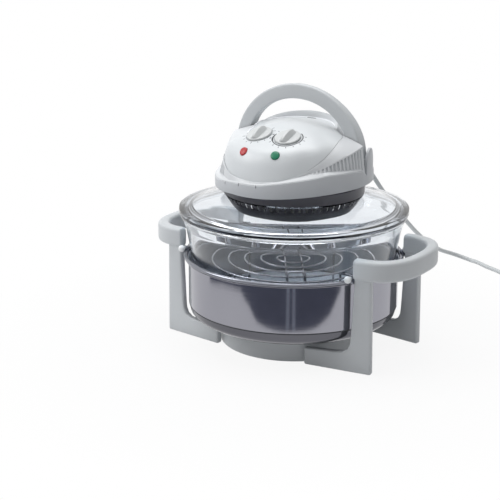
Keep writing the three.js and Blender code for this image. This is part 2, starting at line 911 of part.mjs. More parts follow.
const lampLevel = reflectorBottom - lampDrop;
const lampPoints = [];
for (let i = 0; i <= lampSteps; i++) {
  const turn = Math.PI / 2 + lampOpening / 2 + ((2 * Math.PI - lampOpening) * i) / lampSteps;
  lampPoints.push(new THREE.Vector3(lampRadius * Math.cos(turn), lampRadius * Math.sin(turn), lampLevel));
}
const lamp = tubeAlong(new Polyline(lampPoints), lampTube / 2, lampSteps, 8);
addMesh(oven, "halogen_lamp", lamp, paleGrey, 0.1, 0);

for (const [name, side] of [["left", -1], ["right", 1]]) {
  const holder = block(
    -holderLength / 2,
    -holderWidth / 2,
    lampLevel - lampTube / 2 - gap,
    holderLength / 2,
    holderWidth / 2,
    reflectorBottom - gap,
  );
  const turn = Math.PI / 2 - (side * lampOpening) / 2;
  const inward = holderLength / 2 + lampGap;
  holder.translate(-side * inward, 0, 0);
  const mesh = addMesh(oven, "lamp_holder_" + name, holder, paleGrey, 0.7, 0);
  mesh.position.set(lampRadius * Math.cos(turn), lampRadius * Math.sin(turn), 0);
  mesh.rotation.z = turn - Math.PI / 2;
}

// Head levels
const headFloor = spacerTop + gap;
const headLevel = collarTop;
const headAngles = [];
for (let angle = -180; angle < 180; angle += 10) {
  headAngles.push(angle);
}
headAngles.push(-178, -4, 2, 4, 15, 165, wrapAngle, 178);
headAngles.sort((a, b) => a - b);

// Angle from the front, 0 to 180, for a compass angle measured from +X.
function fromFront(angle) {
  const turned = Math.abs(((angle + 90 + 540) % 360) - 180);
  return turned;
}

function seamLevel(angle) {
  const wrapped = ((angle + 540) % 360) - 180;
  if (wrapped > seamAngles[seamAngles.length - 1] && wrapped < wrapAngle) {
    return headLevel + deckShare * seamTop;
  }
  if (wrapped >= wrapAngle) {
    return headLevel + seamShares[0] * seamTop;
  }
  return headLevel + readTable(seamAngles, seamShares, wrapped) * seamTop;
}

function skirtLow(angle) {
  const forward = headRadius * (1 + Math.sin(THREE.MathUtils.degToRad(angle)));
  const low = headFloor - skirtDip + skirtRise * (1 - Math.exp(-forward / skirtRun));
  const left = Math.cos(THREE.MathUtils.degToRad(angle)) < 0;
  return left ? low - leftDrop * readTable(leftDropAngles, leftDropShares, fromFront(angle)) : low;
}

// Lower housing: skirt and floor, with an ear outside each handle pin
const floorTop = headFloor + floorThick;
const skirt = loftRing(headAngles, (angle) => {
  const seam = seamLevel(angle);
  const low = skirtLow(angle);
  const wallIn = headRadius - headWall;
  const lipLow = Math.max(seam - seamLipHeight, (seam + floorTop) / 2);
  return [
    [headRadius, low],
    [headRadius, seam - seamBevel],
    [headRadius - seamBevel, seam],
    [wallIn - seamLipWidth, seam],
    [wallIn - seamLipWidth, lipLow],
    [wallIn, lipLow],
    [wallIn, floorTop],
    [floorBore, floorTop],
    [floorBore, headFloor],
    [wallIn, headFloor],
    [wallIn, low],
  ];
});
const pivotZ = headLevel + pivotLevel;
const deckTop = headLevel + deckShare * seamTop;
const earCentre = pivotY + earForward;
const earFoot = deckTop - seamLipHeight / 2;

// A band about Z with the same corners as the skirt.
function headBand(inside, outside, bottom, top) {
  return loftRing(headAngles, () => [
    [outside, bottom],
    [outside, top],
    [inside, top],
    [inside, bottom],
  ]);
}

const earShape = new THREE.Shape();
earShape.moveTo(-earHalfDepth, earFoot);
earShape.lineTo(earHalfDepth, earFoot);
earShape.lineTo(earHalfDepth, pivotZ);
earShape.absellipse(0, pivotZ, earHalfDepth, earRise, 0, Math.PI, false, 0);
earShape.closePath();
const earLobe = new THREE.ExtrudeGeometry(earShape, {
  depth: 2 * (headRadius + cutOver),
  bevelEnabled: false,
  curveSegments: 10,
});
earLobe.rotateX(Math.PI / 2);
earLobe.rotateZ(Math.PI / 2);
earLobe.translate(-headRadius - cutOver, earCentre, 0);
const earTop = pivotZ + earRise + cutOver;
const ears = common(headBand(headRadius - earWall, headRadius, earFoot - gap, earTop), earLobe);
const pinHoleRadius = pinDiameter / 2 + gap;
const pinHole = barX(pinHoleRadius, -headRadius + earSkin, headRadius - earSkin, pivotY, pivotZ);
const glandLevel = floorTop + glandAboveFloor;
const glandHole = new THREE.CylinderGeometry(
  glandThroughDiameter / 2 + gap,
  glandThroughDiameter / 2 + gap,
  headWall + seamLipWidth + 2 * cutOver,
  smallSteps,
);
glandHole.translate(0, headRadius - (headWall + seamLipWidth) / 2, glandLevel);
addMesh(oven, "lower_housing", cut(join([skirt, ears]), [pinHole, glandHole]), skirtGrey, 0.45, 0);

// Dome of the control panel: edge radius, edge level and height over a share of that radius
const headTop = headLevel + domeTop;

function domeEdge(angle) {
  const front = fromFront(angle);
  const left = Math.cos(THREE.MathUtils.degToRad(angle)) < 0;
  const narrowed = left ? readTable(leftEdgeAngles, leftEdgeShares, front) : 1;
  return [
    headRadius * narrowed * readTable(domeEdgeAngles, domeEdgeShares, front),
    headLevel + domeTop * readTable(domeEdgeAngles, domeLevelShares, front),
  ];
}

function domeShare(angle, share) {
  const front = fromFront(angle);
  const places = [...bulgeShares].reverse();
  const values = [...bulgeFrontShares].reverse();
  const frontal = readTable(places, values, share);
  const plain = 1 - share * share;
  const fade = THREE.MathUtils.clamp((bulgeEndsAt - front) / (bulgeEndsAt - bulgeFullTo), 0, 1);
  const smooth = fade * fade * (3 - 2 * fade);
  return plain + smooth * (frontal - plain);
}

function domeHeight(x, y) {
  const radius = Math.hypot(x, y);
  const angle = THREE.MathUtils.radToDeg(Math.atan2(y, x));
  const [edge, level] = domeEdge(angle);
  const share = Math.min(radius / edge, 1);
  return level + (headTop - level) * domeShare(angle, share);
}

const dome = loftDome(headAngles, (angle) => {
  const [edge, level] = domeEdge(angle);
  const outside = [];
  const inside = [];
  for (const share of bulgeShares) {
    const radius = share * edge;
    const height = level + (headTop - level) * domeShare(angle, share);
    outside.unshift([radius, height]);
    if (bulgeInsideShares.includes(share)) {
      inside.push([radius * (1 - domeWall / headRadius), height - domeWall]);
    }
  }
  return [...outside, ...inside];
});

// A frame whose Z axis is the panel's outward direction at a place on it.
function panelFrame(x, y) {
  const step = knobStem;
  const slopeX = (domeHeight(x + step, y) - domeHeight(x - step, y)) / (2 * step);
  const slopeY = (domeHeight(x, y + step) - domeHeight(x, y - step)) / (2 * step);
  const outward = new THREE.Vector3(-slopeX, -slopeY, 1).normalize();
  const frame = new THREE.Group();
  frame.position.set(x, y, domeHeight(x, y));
  frame.quaternion.setFromUnitVectors(new THREE.Vector3(0, 0, 1), outward);
  frame.updateMatrix();
  return frame;
}

const knobFrames = [-1, 1].map((side) => panelFrame((side * knobSpread) / 2, -knobForward));
const lensFrames = [-1, 1].map((side) => panelFrame((side * lensSpread) / 2, -lensForward));
const panelCutters = [];
const panelBushes = [];
for (const frame of knobFrames) {
  const bush = upright(knobBushDiameter / 2, knobBushDepth - domeWall / 2, -knobBushDepth);
  const seat = upright(knobSeatDiameter / 2, knobSeatDepth + knobThick, -knobSeatDepth, 24);
  const bore = upright(knobStem / 2 + gap, knobBushDepth + cutOver * 2, -knobBushDepth - cutOver);
  for (const piece of [bush, seat, bore]) {
    piece.applyMatrix4(frame.matrix);
  }
  panelBushes.push(bush);
  panelCutters.push(seat, bore);
}
for (const frame of lensFrames) {
  const bore = upright(lensDiameter / 2 + gap, 2 * lensFlangeDepth, -lensFlangeDepth);
  const recess = upright(lensFlangeDiameter / 2 + gap, lensBodyDepth + gap, -lensFlangeDepth - lensBodyDepth);
  for (const piece of [bore, recess]) {
    piece.applyMatrix4(frame.matrix);
  }
  panelCutters.push(bore, recess);
}
addMesh(oven, "control_panel", cut(join([dome, ...panelBushes]), panelCutters), panelGrey, 0.35, 0);

// Knobs with their stems, and the switch units behind the panel
["timer", "heat"].forEach((name, i) => {
  const frame = knobFrames[i];
  oven.add(frame);
  const bottom = -knobSeatDepth + gap;
  const disc = upright(knobDiameter / 2, knobThick, bottom, 24, knobDiameter / 2 - knobBevel);
  const gripBar = block(
    -knobGripWidth / 2,
    -knobGripLength / 2,
    bottom + knobThick - gap,
    knobGripWidth / 2,
    knobGripLength / 2,
    bottom + knobThick + knobGripHeight,
  );
  const stem = upright(knobStem / 2, knobBushDepth + bottom + gap, -knobBushDepth);
  addMesh(frame, name + "_knob", join([disc, gripBar, stem]), paleGrey, 0.35, 0);
  const unit = upright(dialUnitDiameter / 2, dialUnitDepth, -knobBushDepth - gap - dialUnitDepth, 16);
  addMesh(frame, name + "_unit", unit, nearBlack, 0.6, 0);
});

// Indicators
[
  ["power_indicator", 0xc02a2a],
  ["heat_indicator", 0x0f8a5a],
].forEach(([name, colour], i) => {
  const frame = lensFrames[i];
  oven.add(frame);
  const lensTop = lensDiameter / 2 - lensProud / 2;
  const lens = upright(lensDiameter / 2, lensFlangeDepth + lensProud, -lensFlangeDepth, smallSteps, lensTop);
  const body = upright(lensFlangeDiameter / 2, lensBodyDepth, -lensFlangeDepth - lensBodyDepth);
  addMesh(frame, name, join([lens, body]), colour, 0.2, 0);
});

// Upper housing: chamfer over the seam, ribbed shoulders, deck and rear cover
const deckLevel = deckTop + gap;

// Height of the rear cover, a body of revolution about the handle's axis.
function coverHeight(x, y) {
  const across = coverRadius ** 2 * (1 - (x / coverHalfWidth) ** 2) - (y - pivotY) ** 2;
  return pivotZ + Math.sqrt(Math.max(across, 0));
}

// Radius at which the rear cover meets the level of the handle's axis.
function coverFoot(angle) {
  const turn = THREE.MathUtils.degToRad(angle);
  const a = (Math.cos(turn) / coverHalfWidth) ** 2 + (Math.sin(turn) / coverRadius) ** 2;
  const b = (-2 * Math.sin(turn) * pivotY) / coverRadius ** 2;
  const c = (pivotY / coverRadius) ** 2 - 1;
  return (-b + Math.sqrt(b * b - 4 * a * c)) / (2 * a);
}

const rimStart = headRadius - seamBevel;
const bandShares = [0.3, 0.65];
const coverSteps = [1, 0.96, 0.86, 0.7, 0.5, 0.3, 0.14, 0];
const slotFront = pivotY - handleDepth / 2 - slotMargin;

// The nearest compass angle whose angle from the front lies between two limits.
function limitFront(angle, least, most) {
  const front = THREE.MathUtils.clamp(fromFront(angle), least, most);
  const right = Math.cos(THREE.MathUtils.degToRad(angle)) >= 0;
  return right ? front - 90 : -90 - front;
}

function shoulderOutside(angle) {
  const front = fromFront(angle);
  const [edge, level] = domeEdge(angle);
  const rim = edge + gap;
  const seam = seamLevel(angle) + gap;
  const ledge = seam + chamferHeight * readTable(chamferAngles, chamferRiseShares, front);
  const wallShare = readTable(shoulderAngles, shoulderShares, front);
  const top = Math.max(headLevel + shoulderTop * wallShare, ledge + gap);
  const chamfer = chamferWidth * readTable(chamferAngles, chamferWidthShares, front);
  const foot = Math.max(rimStart - chamfer, rim + 2 * shoulderBow);
  const left = Math.cos(THREE.MathUtils.degToRad(angle)) < 0;
  const leftSet = left ? leftLean * readTable(leftLeanAngles, leftLeanShares, front) : 0;
  const topRadius = Math.max(foot - shoulderLean * wallShare - leftSet, rim + shoulderBow);
  const profile = [
    [rimStart, seam],
    [foot, ledge],
    [topRadius, top],
  ];
  for (const share of bandShares) {
    const bow = shoulderBow * 4 * share * (1 - share);
    profile.push([topRadius + share * (rim - topRadius), top + share * (level - top) + bow]);
  }
  profile.push([rim, level]);
  return profile;
}

function shoulderShell(angle) {
  const outside = shoulderOutside(limitFront(angle, 0, slotAngle));
  const [rim, level] = outside[outside.length - 1];
  const [start, seam] = outside[0];
  const wall = shoulderWall;
  const lowest = level - wall * 1.5;
  const [topRadius, top] = outside[2];
  const share = (top - seam) / (level - seam);
  return [
    ...outside,
    [rim, lowest],
    [Math.max(topRadius - wall, rim + gap), seam + share * (lowest - seam)],
    [start - wall * 2, seam],
  ];
}

function shoulderFilled(angle) {
  const outside = shoulderOutside(limitFront(angle, 0, slotAngle));
  const [rim] = outside[outside.length - 1];
  const [, seam] = outside[0];
  return [...outside, [rim, seam]];
}

function coverShell(angle) {
  const at = limitFront(angle, slotAngle, 180);
  const turn = THREE.MathUtils.degToRad(at);
  const [edge, level] = domeEdge(at);
  const rim = edge + gap;
  const foot = coverFoot(at);
  const crest = Math.min(rim + hoodWidth, foot - shoulderBow);
  const deck = seamLevel(at) + gap;
  const wall = shoulderWall;
  const upward = coverSteps.map((share) => {
    const radius = crest + share * (foot - crest);
    return [radius, coverHeight(radius * Math.cos(turn), radius * Math.sin(turn))];
  });
  const inward = upward.slice(1).map(([radius, height]) => [Math.max(radius - wall, rim + gap), height - wall]);
  const kept = [0, 2, 4, 6].map((place) => inward[place]).filter(([, height]) => height > deck + wall);
  while (kept.length < 4) {
    kept.unshift([kept[0][0], (kept[0][1] + deck) / 2]);
  }
  return [
    [rimStart, deck],
    [rimStart - gap, deck + deckThick],
    [foot, deck + deckThick],
    ...upward,
    [rim, level],
    [rim, level - wall * 1.5],
    ...kept.reverse(),
    [foot - wall, deck],
  ];
}

const coverLimit = pivotZ + coverRadius + cutOver;
const behind = block(-headRadius, slotFront - gap, deckTop - gap, headRadius, headRadius, coverLimit);
const ahead = block(-headRadius, -headRadius, 0, headRadius, slotFront, headTop);
const endBand = block(-headRadius, slotFront - shoulderWall, 0, headRadius, slotFront, headTop);
const upper = join([
  common(loftRing(headAngles, shoulderShell), ahead),
  common(loftRing(headAngles, shoulderFilled), endBand),
  common(loftRing(headAngles, coverShell), behind),
]);
const legSlots = [-1, 1].map((side) =>
  block(
    Math.min(side * (coverHalfWidth + gap), side * (headRadius + cutOver)),
    slotFront,
    deckLevel + deckThick,
    Math.max(side * (coverHalfWidth + gap), side * (headRadius + cutOver)),
    headRadius,
    coverLimit,
  ),
);
const earClear = common(
  headBand(headRadius - earWall - gap, headRadius + cutOver, earFoot - seamLipHeight, earTop),
  block(
    -headRadius - cutOver,
    earCentre - earHalfDepth - gap,
    earFoot - seamLipHeight,
    headRadius + cutOver,
    earCentre + earHalfDepth + gap,
    earTop,
  ),
);
addMesh(oven, "upper_housing", cut(upper, [...legSlots, earClear, pinHole]), lightGrey, 0.45, 0);

// Carrying handle: an arch on two legs, turning on two pins
const handleGroup = new THREE.Group();
handleGroup.position.set(0, pivotY, pivotZ);
oven.add(handleGroup);

// A closed body through equal loops of points, with flat ends.
function skin(loops) {
  const size = loops[0].length;
  const points = [];
  for (const loop of loops) {
    for (const point of loop) {
      points.push(point.x, point.y, point.z);
    }
  }
  const index = [];
  for (let i = 0; i < loops.length - 1; i++) {
    for (let j = 0; j < size; j++) {
      const after = (j + 1) % size;
      const a = i * size + j;
      const b = i * size + after;
      index.push(a, b, b + size, a, b + size, a + size);
    }
  }
  const last = (loops.length - 1) * size;
  for (let j = 1; j < size - 1; j++) {
    index.push(0, j + 1, j);
    index.push(last, last + j, last + j + 1);
  }
  const geometry = new THREE.BufferGeometry();
  geometry.setAttribute("position", new THREE.Float32BufferAttribute(points, 3));
  geometry.setIndex(index);
  return geometry;
}

// One section of the arch: turn 0 is the right foot, 180 the left one; drop lowers it onto the straight leg.
function archSection(turn, drop) {
  const cosine = Math.cos(turn);
  const sine = Math.sin(turn);
  const outer = new THREE.Vector2(handleHalfWidth * cosine, handleArchFoot - drop + handleArchRise * sine);
  const inner = new THREE.Vector2(
    (handleHalfWidth - handleThick) * cosine,
    handleArchFoot - drop + (handleArchRise - handleCrownThick) * sine,
  );
  const upShare = Math.asin(Math.min(sine, 1)) / (Math.PI / 2);
  const places = handleDepthShares.map((share, i) => i / (handleDepthShares.length - 1));
  const front = -handleDepth / 2;
  const rear = front + handleDepth * readTable(places, handleDepthShares, upShare);
  const round = handleRounding;
  const across = outer.clone().sub(inner);
  const thick = across.length();
  const at = (depth, y) => {
    const place = inner.clone().addScaledVector(across, depth / thick);
    return new THREE.Vector3(place.x, y, place.y);
  };
  return [
    at(thick - round, front),
    at(thick, front + round),
    at(thick, rear - round),
    at(thick - round, rear),
    at(round, rear),
    at(0, rear - round),
    at(0, front + round),
    at(round, front),
  ];
}

const archLoops = [archSection(0, handleArchFoot)];
for (let i = 0; i <= handleSteps; i++) {
  archLoops.push(archSection((Math.PI * i) / handleSteps, 0));
}
archLoops.push(archSection(Math.PI, handleArchFoot));
const arch = skin(archLoops);
const archParts = [arch];
const bossInner = coverHalfWidth + 2 * gap;
const bossOuter = Math.sqrt((headRadius - earWall) ** 2 - (pivotY + bossDiameter / 2) ** 2) - gap;
for (const side of [-1, 1]) {
  const legInner = side * (handleHalfWidth - handleThick);
  archParts.push(barX(handleDepth / 2 - gap, legInner, side * handleHalfWidth, 0, 0, 16));
  archParts.push(barX(bossDiameter / 2, side * bossInner, side * bossOuter, 0, 0, 16));
}
const handleBore = barX(pinHoleRadius, -headRadius, headRadius, 0, 0);
addMesh(handleGroup, "carry_handle", cut(join(archParts), [handleBore]), lightGrey, 0.4, 0);

for (const [name, side] of [["left", -1], ["right", 1]]) {
  const pinInner = side * (coverHalfWidth - 2 * shoulderWall);
  const pinOuter = side * (headRadius - earSkin - gap);
  const pin = barX(pinDiameter / 2, pinInner, pinOuter, 0, 0);
  addMesh(handleGroup, "handle_pin_" + name, pin, steel, 0.3, 1);
}

// Fan, shaft, motor and cooling fan
function fan(radius, height, bottom) {
  const hub = upright(fanHubDiameter / 2, height, bottom);
  const parts = [hub];
  for (let i = 0; i < fanBlades; i++) {
    const blade = block(fanHubDiameter / 2 - bladeThick, -bladeThick / 2, bottom, radius, bladeThick / 2, bottom + height);
    blade.rotateZ((2 * Math.PI * i) / fanBlades);
    parts.push(blade);
  }
  const bore = upright(shaftDiameter / 2 + gap, height + 2 * cutOver, bottom - cutOver);
  return cut(join(parts), [bore]);
}

const fanBottom = reflectorBottom - fanUnderReflector - fanHeight;
addMesh(oven, "hot_air_fan", fan(fanRadius, fanHeight, fanBottom), steel, 0.35, 0.9);
const motorBottom = floorTop + gap;
const motorTop = motorBottom + motorHeight;
const coolFanBottom = motorTop + coolFanAbove;
addMesh(oven, "cooling_fan", fan(coolFanRadius, coolFanHeight, coolFanBottom), nearBlack, 0.5, 0);
const shaftTop = coolFanBottom + coolFanHeight + shaftOverFan;
addMesh(oven, "motor_shaft", upright(shaftDiameter / 2, shaftTop - fanBottom, fanBottom), steel, 0.3, 1);
const motorBlock = block(-motorWidth / 2, -motorDepth / 2, motorBottom, motorWidth / 2, motorDepth / 2, motorTop);
const motorBore = upright(shaftDiameter / 2 + gap, motorHeight + 2 * cutOver, motorBottom - cutOver);
addMesh(oven, "fan_motor", cut(motorBlock, [motorBore]), darkMetal, 0.5, 0.7);

// Safety switch beside the right handle foot, and the terminal block
const switchBody = block(
  switchPlace,
  pivotY + switchBehindPin - switchDepth / 2,
  motorBottom,
  switchPlace + switchWidth,
  pivotY + switchBehindPin + switchDepth / 2,
  motorBottom + switchHeight,
);
addMesh(oven, "safety_switch", switchBody, nearBlack, 0.6, 0);
const terminal = block(
  -terminalWidth / 2,
  terminalPlace - terminalDepth / 2,
  motorBottom,
  terminalWidth / 2,
  terminalPlace + terminalDepth / 2,
  motorBottom + terminalHeight,
);
addMesh(oven, "terminal_block", terminal, paleGrey, 0.6, 0);

// Strain relief at the back of the head
const glandInside = headRadius - headWall - seamLipWidth - gap;
const glandOutside = headRadius + gap;
const glandPlug = new THREE.CylinderGeometry(
  glandThroughDiameter / 2,
  glandThroughDiameter / 2,
  glandOutside + gap - glandInside,
  smallSteps,
);
glandPlug.translate(0, (glandOutside + gap + glandInside) / 2, 0);
const glandFlange = new THREE.CylinderGeometry(
  glandFlangeDiameter / 2,
  glandFlangeDiameter / 2,
  glandFlangeThick,
  smallSteps,
);
glandFlange.translate(0, glandOutside + glandFlangeThick / 2, 0);
const glandBoot = new THREE.CylinderGeometry(glandTipDiameter / 2, glandFlangeDiameter / 2 - gap, glandTaper, smallSteps);
const glandBootStart = glandOutside + glandFlangeThick - gap;
glandBoot.translate(0, glandBootStart + glandTaper / 2, 0);
const gland = addMesh(oven, "strain_relief", join([glandPlug, glandFlange, glandBoot]), paleGrey, 0.6, 0);
gland.position.z = glandLevel;
const glandTip = glandBootStart + glandTaper;

// Cord: from the strain relief down to the table behind the oven, along the table to the coil
const cordLevel = cordDiameter / 2 + gap;
const cordStart = glandTip + gap;
const coilX = 214;
const coilY = 414;
const coilEntry = THREE.MathUtils.degToRad(150);
const coilMeet = new THREE.Vector3(
  coilX + coilOuter * Math.cos(coilEntry),
  coilY + coilOuter * Math.sin(coilEntry),
  cordLevel,
);
const coilTangent = new THREE.Vector3(Math.sin(coilEntry), -Math.cos(coilEntry), 0);
const coilFace = coilMeet.clone().addScaledVector(coilTangent, -cordDiameter);
const cordEnd = coilFace.clone().addScaledVector(coilTangent, -gap);
const cordPoints = [
  new THREE.Vector3(0, cordStart + cordDiameter, glandLevel),
  new THREE.Vector3(3, 178, 239),
  new THREE.Vector3(9, 212, 212),
  new THREE.Vector3(16, 252, 169.5),
  new THREE.Vector3(25, 314, 112.5),
  new THREE.Vector3(28.5, 357, 79),
  new THREE.Vector3(30, 402, 51),
  new THREE.Vector3(32, 446, 29),
  new THREE.Vector3(44, 484, 13),
  new THREE.Vector3(72, 494, cordLevel),
  new THREE.Vector3(108, 474, cordLevel),
  new THREE.Vector3(145, 452.5, cordLevel),
  cordEnd.clone().addScaledVector(coilTangent, -cordDiameter),
];
const cordCurve = new THREE.CatmullRomCurve3(cordPoints, false, "centripetal");
const cordLength = cordCurve.getLength();
const cordSteps = Math.round(cordLength / cordStep);
const cordWalk = [new THREE.Vector3(0, cordStart, glandLevel)];
for (let i = 0; i <= cordSteps; i++) {
  const point = cordCurve.getPointAt(i / cordSteps);
  point.z = Math.max(point.z, cordLevel);
  cordWalk.push(point);
}
cordWalk.push(cordEnd);
const cord = tubeAlong(new Polyline(cordWalk), cordDiameter / 2, cordWalk.length - 1, cordSides);
addMesh(oven, "cord", cord, paleGrey, 0.6, 0);

// Coil: inwards on the table, up a layer in the last half turn there, and outwards again
const coilTurns = 2 * coilLayerTurns + 0.5;
const coilSteps = Math.round(coilTurns * coilLoopSteps);
const coilWalk = [coilFace.clone()];
for (let i = 0; i <= coilSteps; i++) {
  const turns = (coilTurns * i) / coilSteps;
  const inward = Math.min(turns, coilLayerTurns);
  const outward = Math.max(turns - coilLayerTurns - 0.5, 0);
  const climb = THREE.MathUtils.clamp((turns - coilLayerTurns) / 0.5, 0, 1);
  const radius = coilOuter - coilPitch * (inward - outward);
  const turn = coilEntry - 2 * Math.PI * turns;
  const lift = coilLift * climb;
  coilWalk.push(
    new THREE.Vector3(coilX + radius * Math.cos(turn), coilY + radius * Math.sin(turn), cordLevel + lift),
  );
}
const coilLast = coilWalk[coilWalk.length - 1];
const coilLastTurn = coilEntry - 2 * Math.PI * coilTurns;
const coilOut = new THREE.Vector3(Math.sin(coilLastTurn), -Math.cos(coilLastTurn), 0);
const coilExit = coilLast.clone().addScaledVector(coilOut, coilTail);
coilWalk.push(coilExit);
const coil = tubeAlong(new Polyline(coilWalk), cordDiameter / 2, coilWalk.length - 1, coilSides);
addMesh(oven, "cord_coil", coil, paleGrey, 0.6, 0);

let coilLeast = Infinity;
coilWalk.forEach((p, i) => {
  coilWalk.slice(i + coilLoopSteps / 2).forEach((q) => {
    coilLeast = Math.min(coilLeast, p.distanceTo(q) - cordDiameter);
  });
});
let coilLength = 0;
coilWalk.slice(1).forEach((p, i) => {
  coilLength += p.distanceTo(coilWalk[i]);
});
console.log("cord length", (cordLength + coilLength).toFixed(0), "mm");
console.log("least gap of the coil to itself", coilLeast.toFixed(2), "mm");

// Plug lying beside the coil
const plug = new THREE.Group();
plug.position.copy(coilExit).addScaledVector(coilOut, gap);
plug.rotation.z = Math.atan2(coilOut.y, coilOut.x);
oven.add(plug);
const neck = barX(plugNeckDiameter / 2, 0, plugNeckLength + gap, 0, 0, 10);
const plugOutline = new THREE.Shape([
  new THREE.Vector2(plugNeckLength, -plugNeckDiameter / 2),
  new THREE.Vector2(plugNeckLength + plugNose, -plugWidth / 2),
  new THREE.Vector2(plugNeckLength + plugLength, -plugWidth / 2),
  new THREE.Vector2(plugNeckLength + plugLength, plugWidth / 2),
  new THREE.Vector2(plugNeckLength + plugNose, plugWidth / 2),
  new THREE.Vector2(plugNeckLength, plugNeckDiameter / 2),
]);
const plugHeight = 2 * (coilExit.z - gap);
const plugBody = new THREE.ExtrudeGeometry(plugOutline, { depth: plugHeight, bevelEnabled: false });
plugBody.translate(0, 0, -plugHeight / 2);
const plugParts = [neck, plugBody];
const plugEnd = plugNeckLength + plugLength;
for (const side of [-1, 1]) {
  plugParts.push(barX(plugPinDiameter / 2, plugEnd - gap, plugEnd + pinReach, (side * plugPinSpread) / 2, 0, 8));
}
addMesh(plug, "plug", join(plugParts), paleGrey, 0.5, 0);

export default oven;
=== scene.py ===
import math

import bmesh
import bpy
import numpy as np
from mathutils import Matrix, Vector


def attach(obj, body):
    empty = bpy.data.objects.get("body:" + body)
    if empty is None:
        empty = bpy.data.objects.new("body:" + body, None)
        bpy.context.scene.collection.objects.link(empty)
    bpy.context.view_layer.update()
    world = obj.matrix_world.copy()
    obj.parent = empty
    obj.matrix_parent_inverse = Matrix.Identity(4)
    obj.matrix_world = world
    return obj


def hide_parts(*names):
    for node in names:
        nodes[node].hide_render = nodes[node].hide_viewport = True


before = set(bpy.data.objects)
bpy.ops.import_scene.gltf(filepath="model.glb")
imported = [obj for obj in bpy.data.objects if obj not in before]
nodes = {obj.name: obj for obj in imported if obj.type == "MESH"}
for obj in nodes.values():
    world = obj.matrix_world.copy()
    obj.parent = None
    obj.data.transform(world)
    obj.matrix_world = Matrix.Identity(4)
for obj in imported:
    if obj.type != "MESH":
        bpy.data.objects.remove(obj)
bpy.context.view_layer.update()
scene = bpy.context.scene
MM = 0.001
UP = Vector((0, 0, 1))


def add_object(name, data):
    obj = bpy.data.objects.new(name, data)
    scene.collection.objects.link(obj)
    return obj


# Camera at the photograph's viewing angle
SENSOR, FOCAL, FAR = 36, 87.59, 60
CAMERA_PLACE = (0.881, -1.4522, 0.6264)
CAMERA_DOWN, CAMERA_TURN = 16.232, 33.371
lens = bpy.data.cameras.new("camera")
lens.sensor_width = SENSOR
lens.lens = FOCAL
lens.clip_end = FAR
camera = add_object("camera", lens)
camera.location = CAMERA_PLACE
camera.rotation_euler = (math.radians(90 - CAMERA_DOWN), 0, math.radians(CAMERA_TURN))
scene.camera = camera


# Helpers
MOST_OF_SIDE = 0.48
WELD, SLIVER = 2e-6, 1e-6
SHARP, BEVEL_FROM, BEVEL_SHARP = 32, 35, 50


def table(places, values):
    """A smooth reading of a table that adds no overshoot."""
    xs, ys = np.array(places, float), np.array(values, float)
    step = np.diff(xs)
    rise = np.diff(ys) / step
    slope = np.zeros(len(xs))
    slope[0], slope[-1] = rise[0], rise[-1]
    for i in range(1, len(xs) - 1):
        if rise[i - 1] * rise[i] > 0:
            a, b = 2 * step[i] + step[i - 1], step[i] + 2 * step[i - 1]
            slope[i] = (a + b) / (a / rise[i - 1] + b / rise[i])

    def read(x):
        x = min(max(x, xs[0]), xs[-1])
        i = min(int(np.searchsorted(xs, x, side="right")) - 1, len(xs) - 2)
        t = (x - xs[i]) / step[i]
        return float(
            (1 + 2 * t) * (1 - t) ** 2 * ys[i]
            + t * (1 - t) ** 2 * step[i] * slope[i]
            + t * t * (3 - 2 * t) * ys[i + 1]
            + t * t * (t - 1) * step[i] * slope[i + 1]
        )

    return read


def fillet(points, radius, steps=4):
    """Rounds the corners of a closed outline. radius is one number or one for each corner."""
    out = []
    for i, point in enumerate(points):
        r = radius[i] if hasattr(radius, "__len__") else radius
        p = np.array(point, float)
        if r <= 0:
            out += [tuple(p)] * (steps + 1)
            continue
        a = np.array(points[i - 1], float) - p
        b = np.array(points[(i + 1) % len(points)], float) - p
        la, lb = np.linalg.norm(a) + 1e-9, np.linalg.norm(b) + 1e-9
        a, b = a / la, b / lb
        half = math.acos(max(-0.999, min(0.999, float(a @ b)))) / 2
        back = min(r / math.tan(half), MOST_OF_SIDE * la, MOST_OF_SIDE * lb)
        start, end = p + a * back, p + b * back
        for k in range(steps + 1):
            t = k / steps
            out.append(tuple((1 - t) ** 2 * start + 2 * t * (1 - t) * p + t * t * end))
    return out


def mesh_object(name, points, faces, angle=SHARP):
    mesh = bpy.data.meshes.new(name)
    mesh.from_pydata([(p[0] * MM, p[1] * MM, p[2] * MM) for p in points], [], faces)
    work = bmesh.new()
    work.from_mesh(mesh)
    bmesh.ops.remove_doubles(work, verts=work.verts, dist=WELD)
    bmesh.ops.dissolve_degenerate(work, edges=work.edges, dist=SLIVER)
    bmesh.ops.recalc_face_normals(work, faces=work.faces)
    work.to_mesh(mesh)
    work.free()
    obj = add_object(name, mesh)
    smooth(obj, angle)
    return obj


def smooth(obj, angle=SHARP):
    obj.data.shade_smooth()
    obj.data.set_sharp_from_angle(angle=math.radians(angle))
    return obj


def loft(name, loops, ring=False, closed=True, angle=SHARP):
    size, count = len(loops[0]), len(loops)
    points = [p for loop in loops for p in loop]
    faces = []
    for i in range(count if ring else count - 1):
        a, b = i * size, ((i + 1) % count) * size
        for j in range(size if closed else size - 1):
            k = (j + 1) % size
            faces.append((a + j, b + j, b + k, a + k))
    if closed and not ring:
        faces.append(tuple(range(size)))
        faces.append(tuple(range((count - 1) * size, count * size)))
    return mesh_object(name, points, faces, angle)


def at(radius, angle, height):
    turn = math.radians(angle)
    return (radius * math.cos(turn), radius * math.sin(turn), height)


def ray(angle, radius):
    return at(radius, angle, 0)[:2]


def lathe(name, profile, steps=192, angle=SHARP, closed=True):
    loops = [[at(r, 360 * i / steps, z) for r, z in profile] for i in range(steps)]
    return loft(name, loops, ring=True, closed=closed, angle=angle)


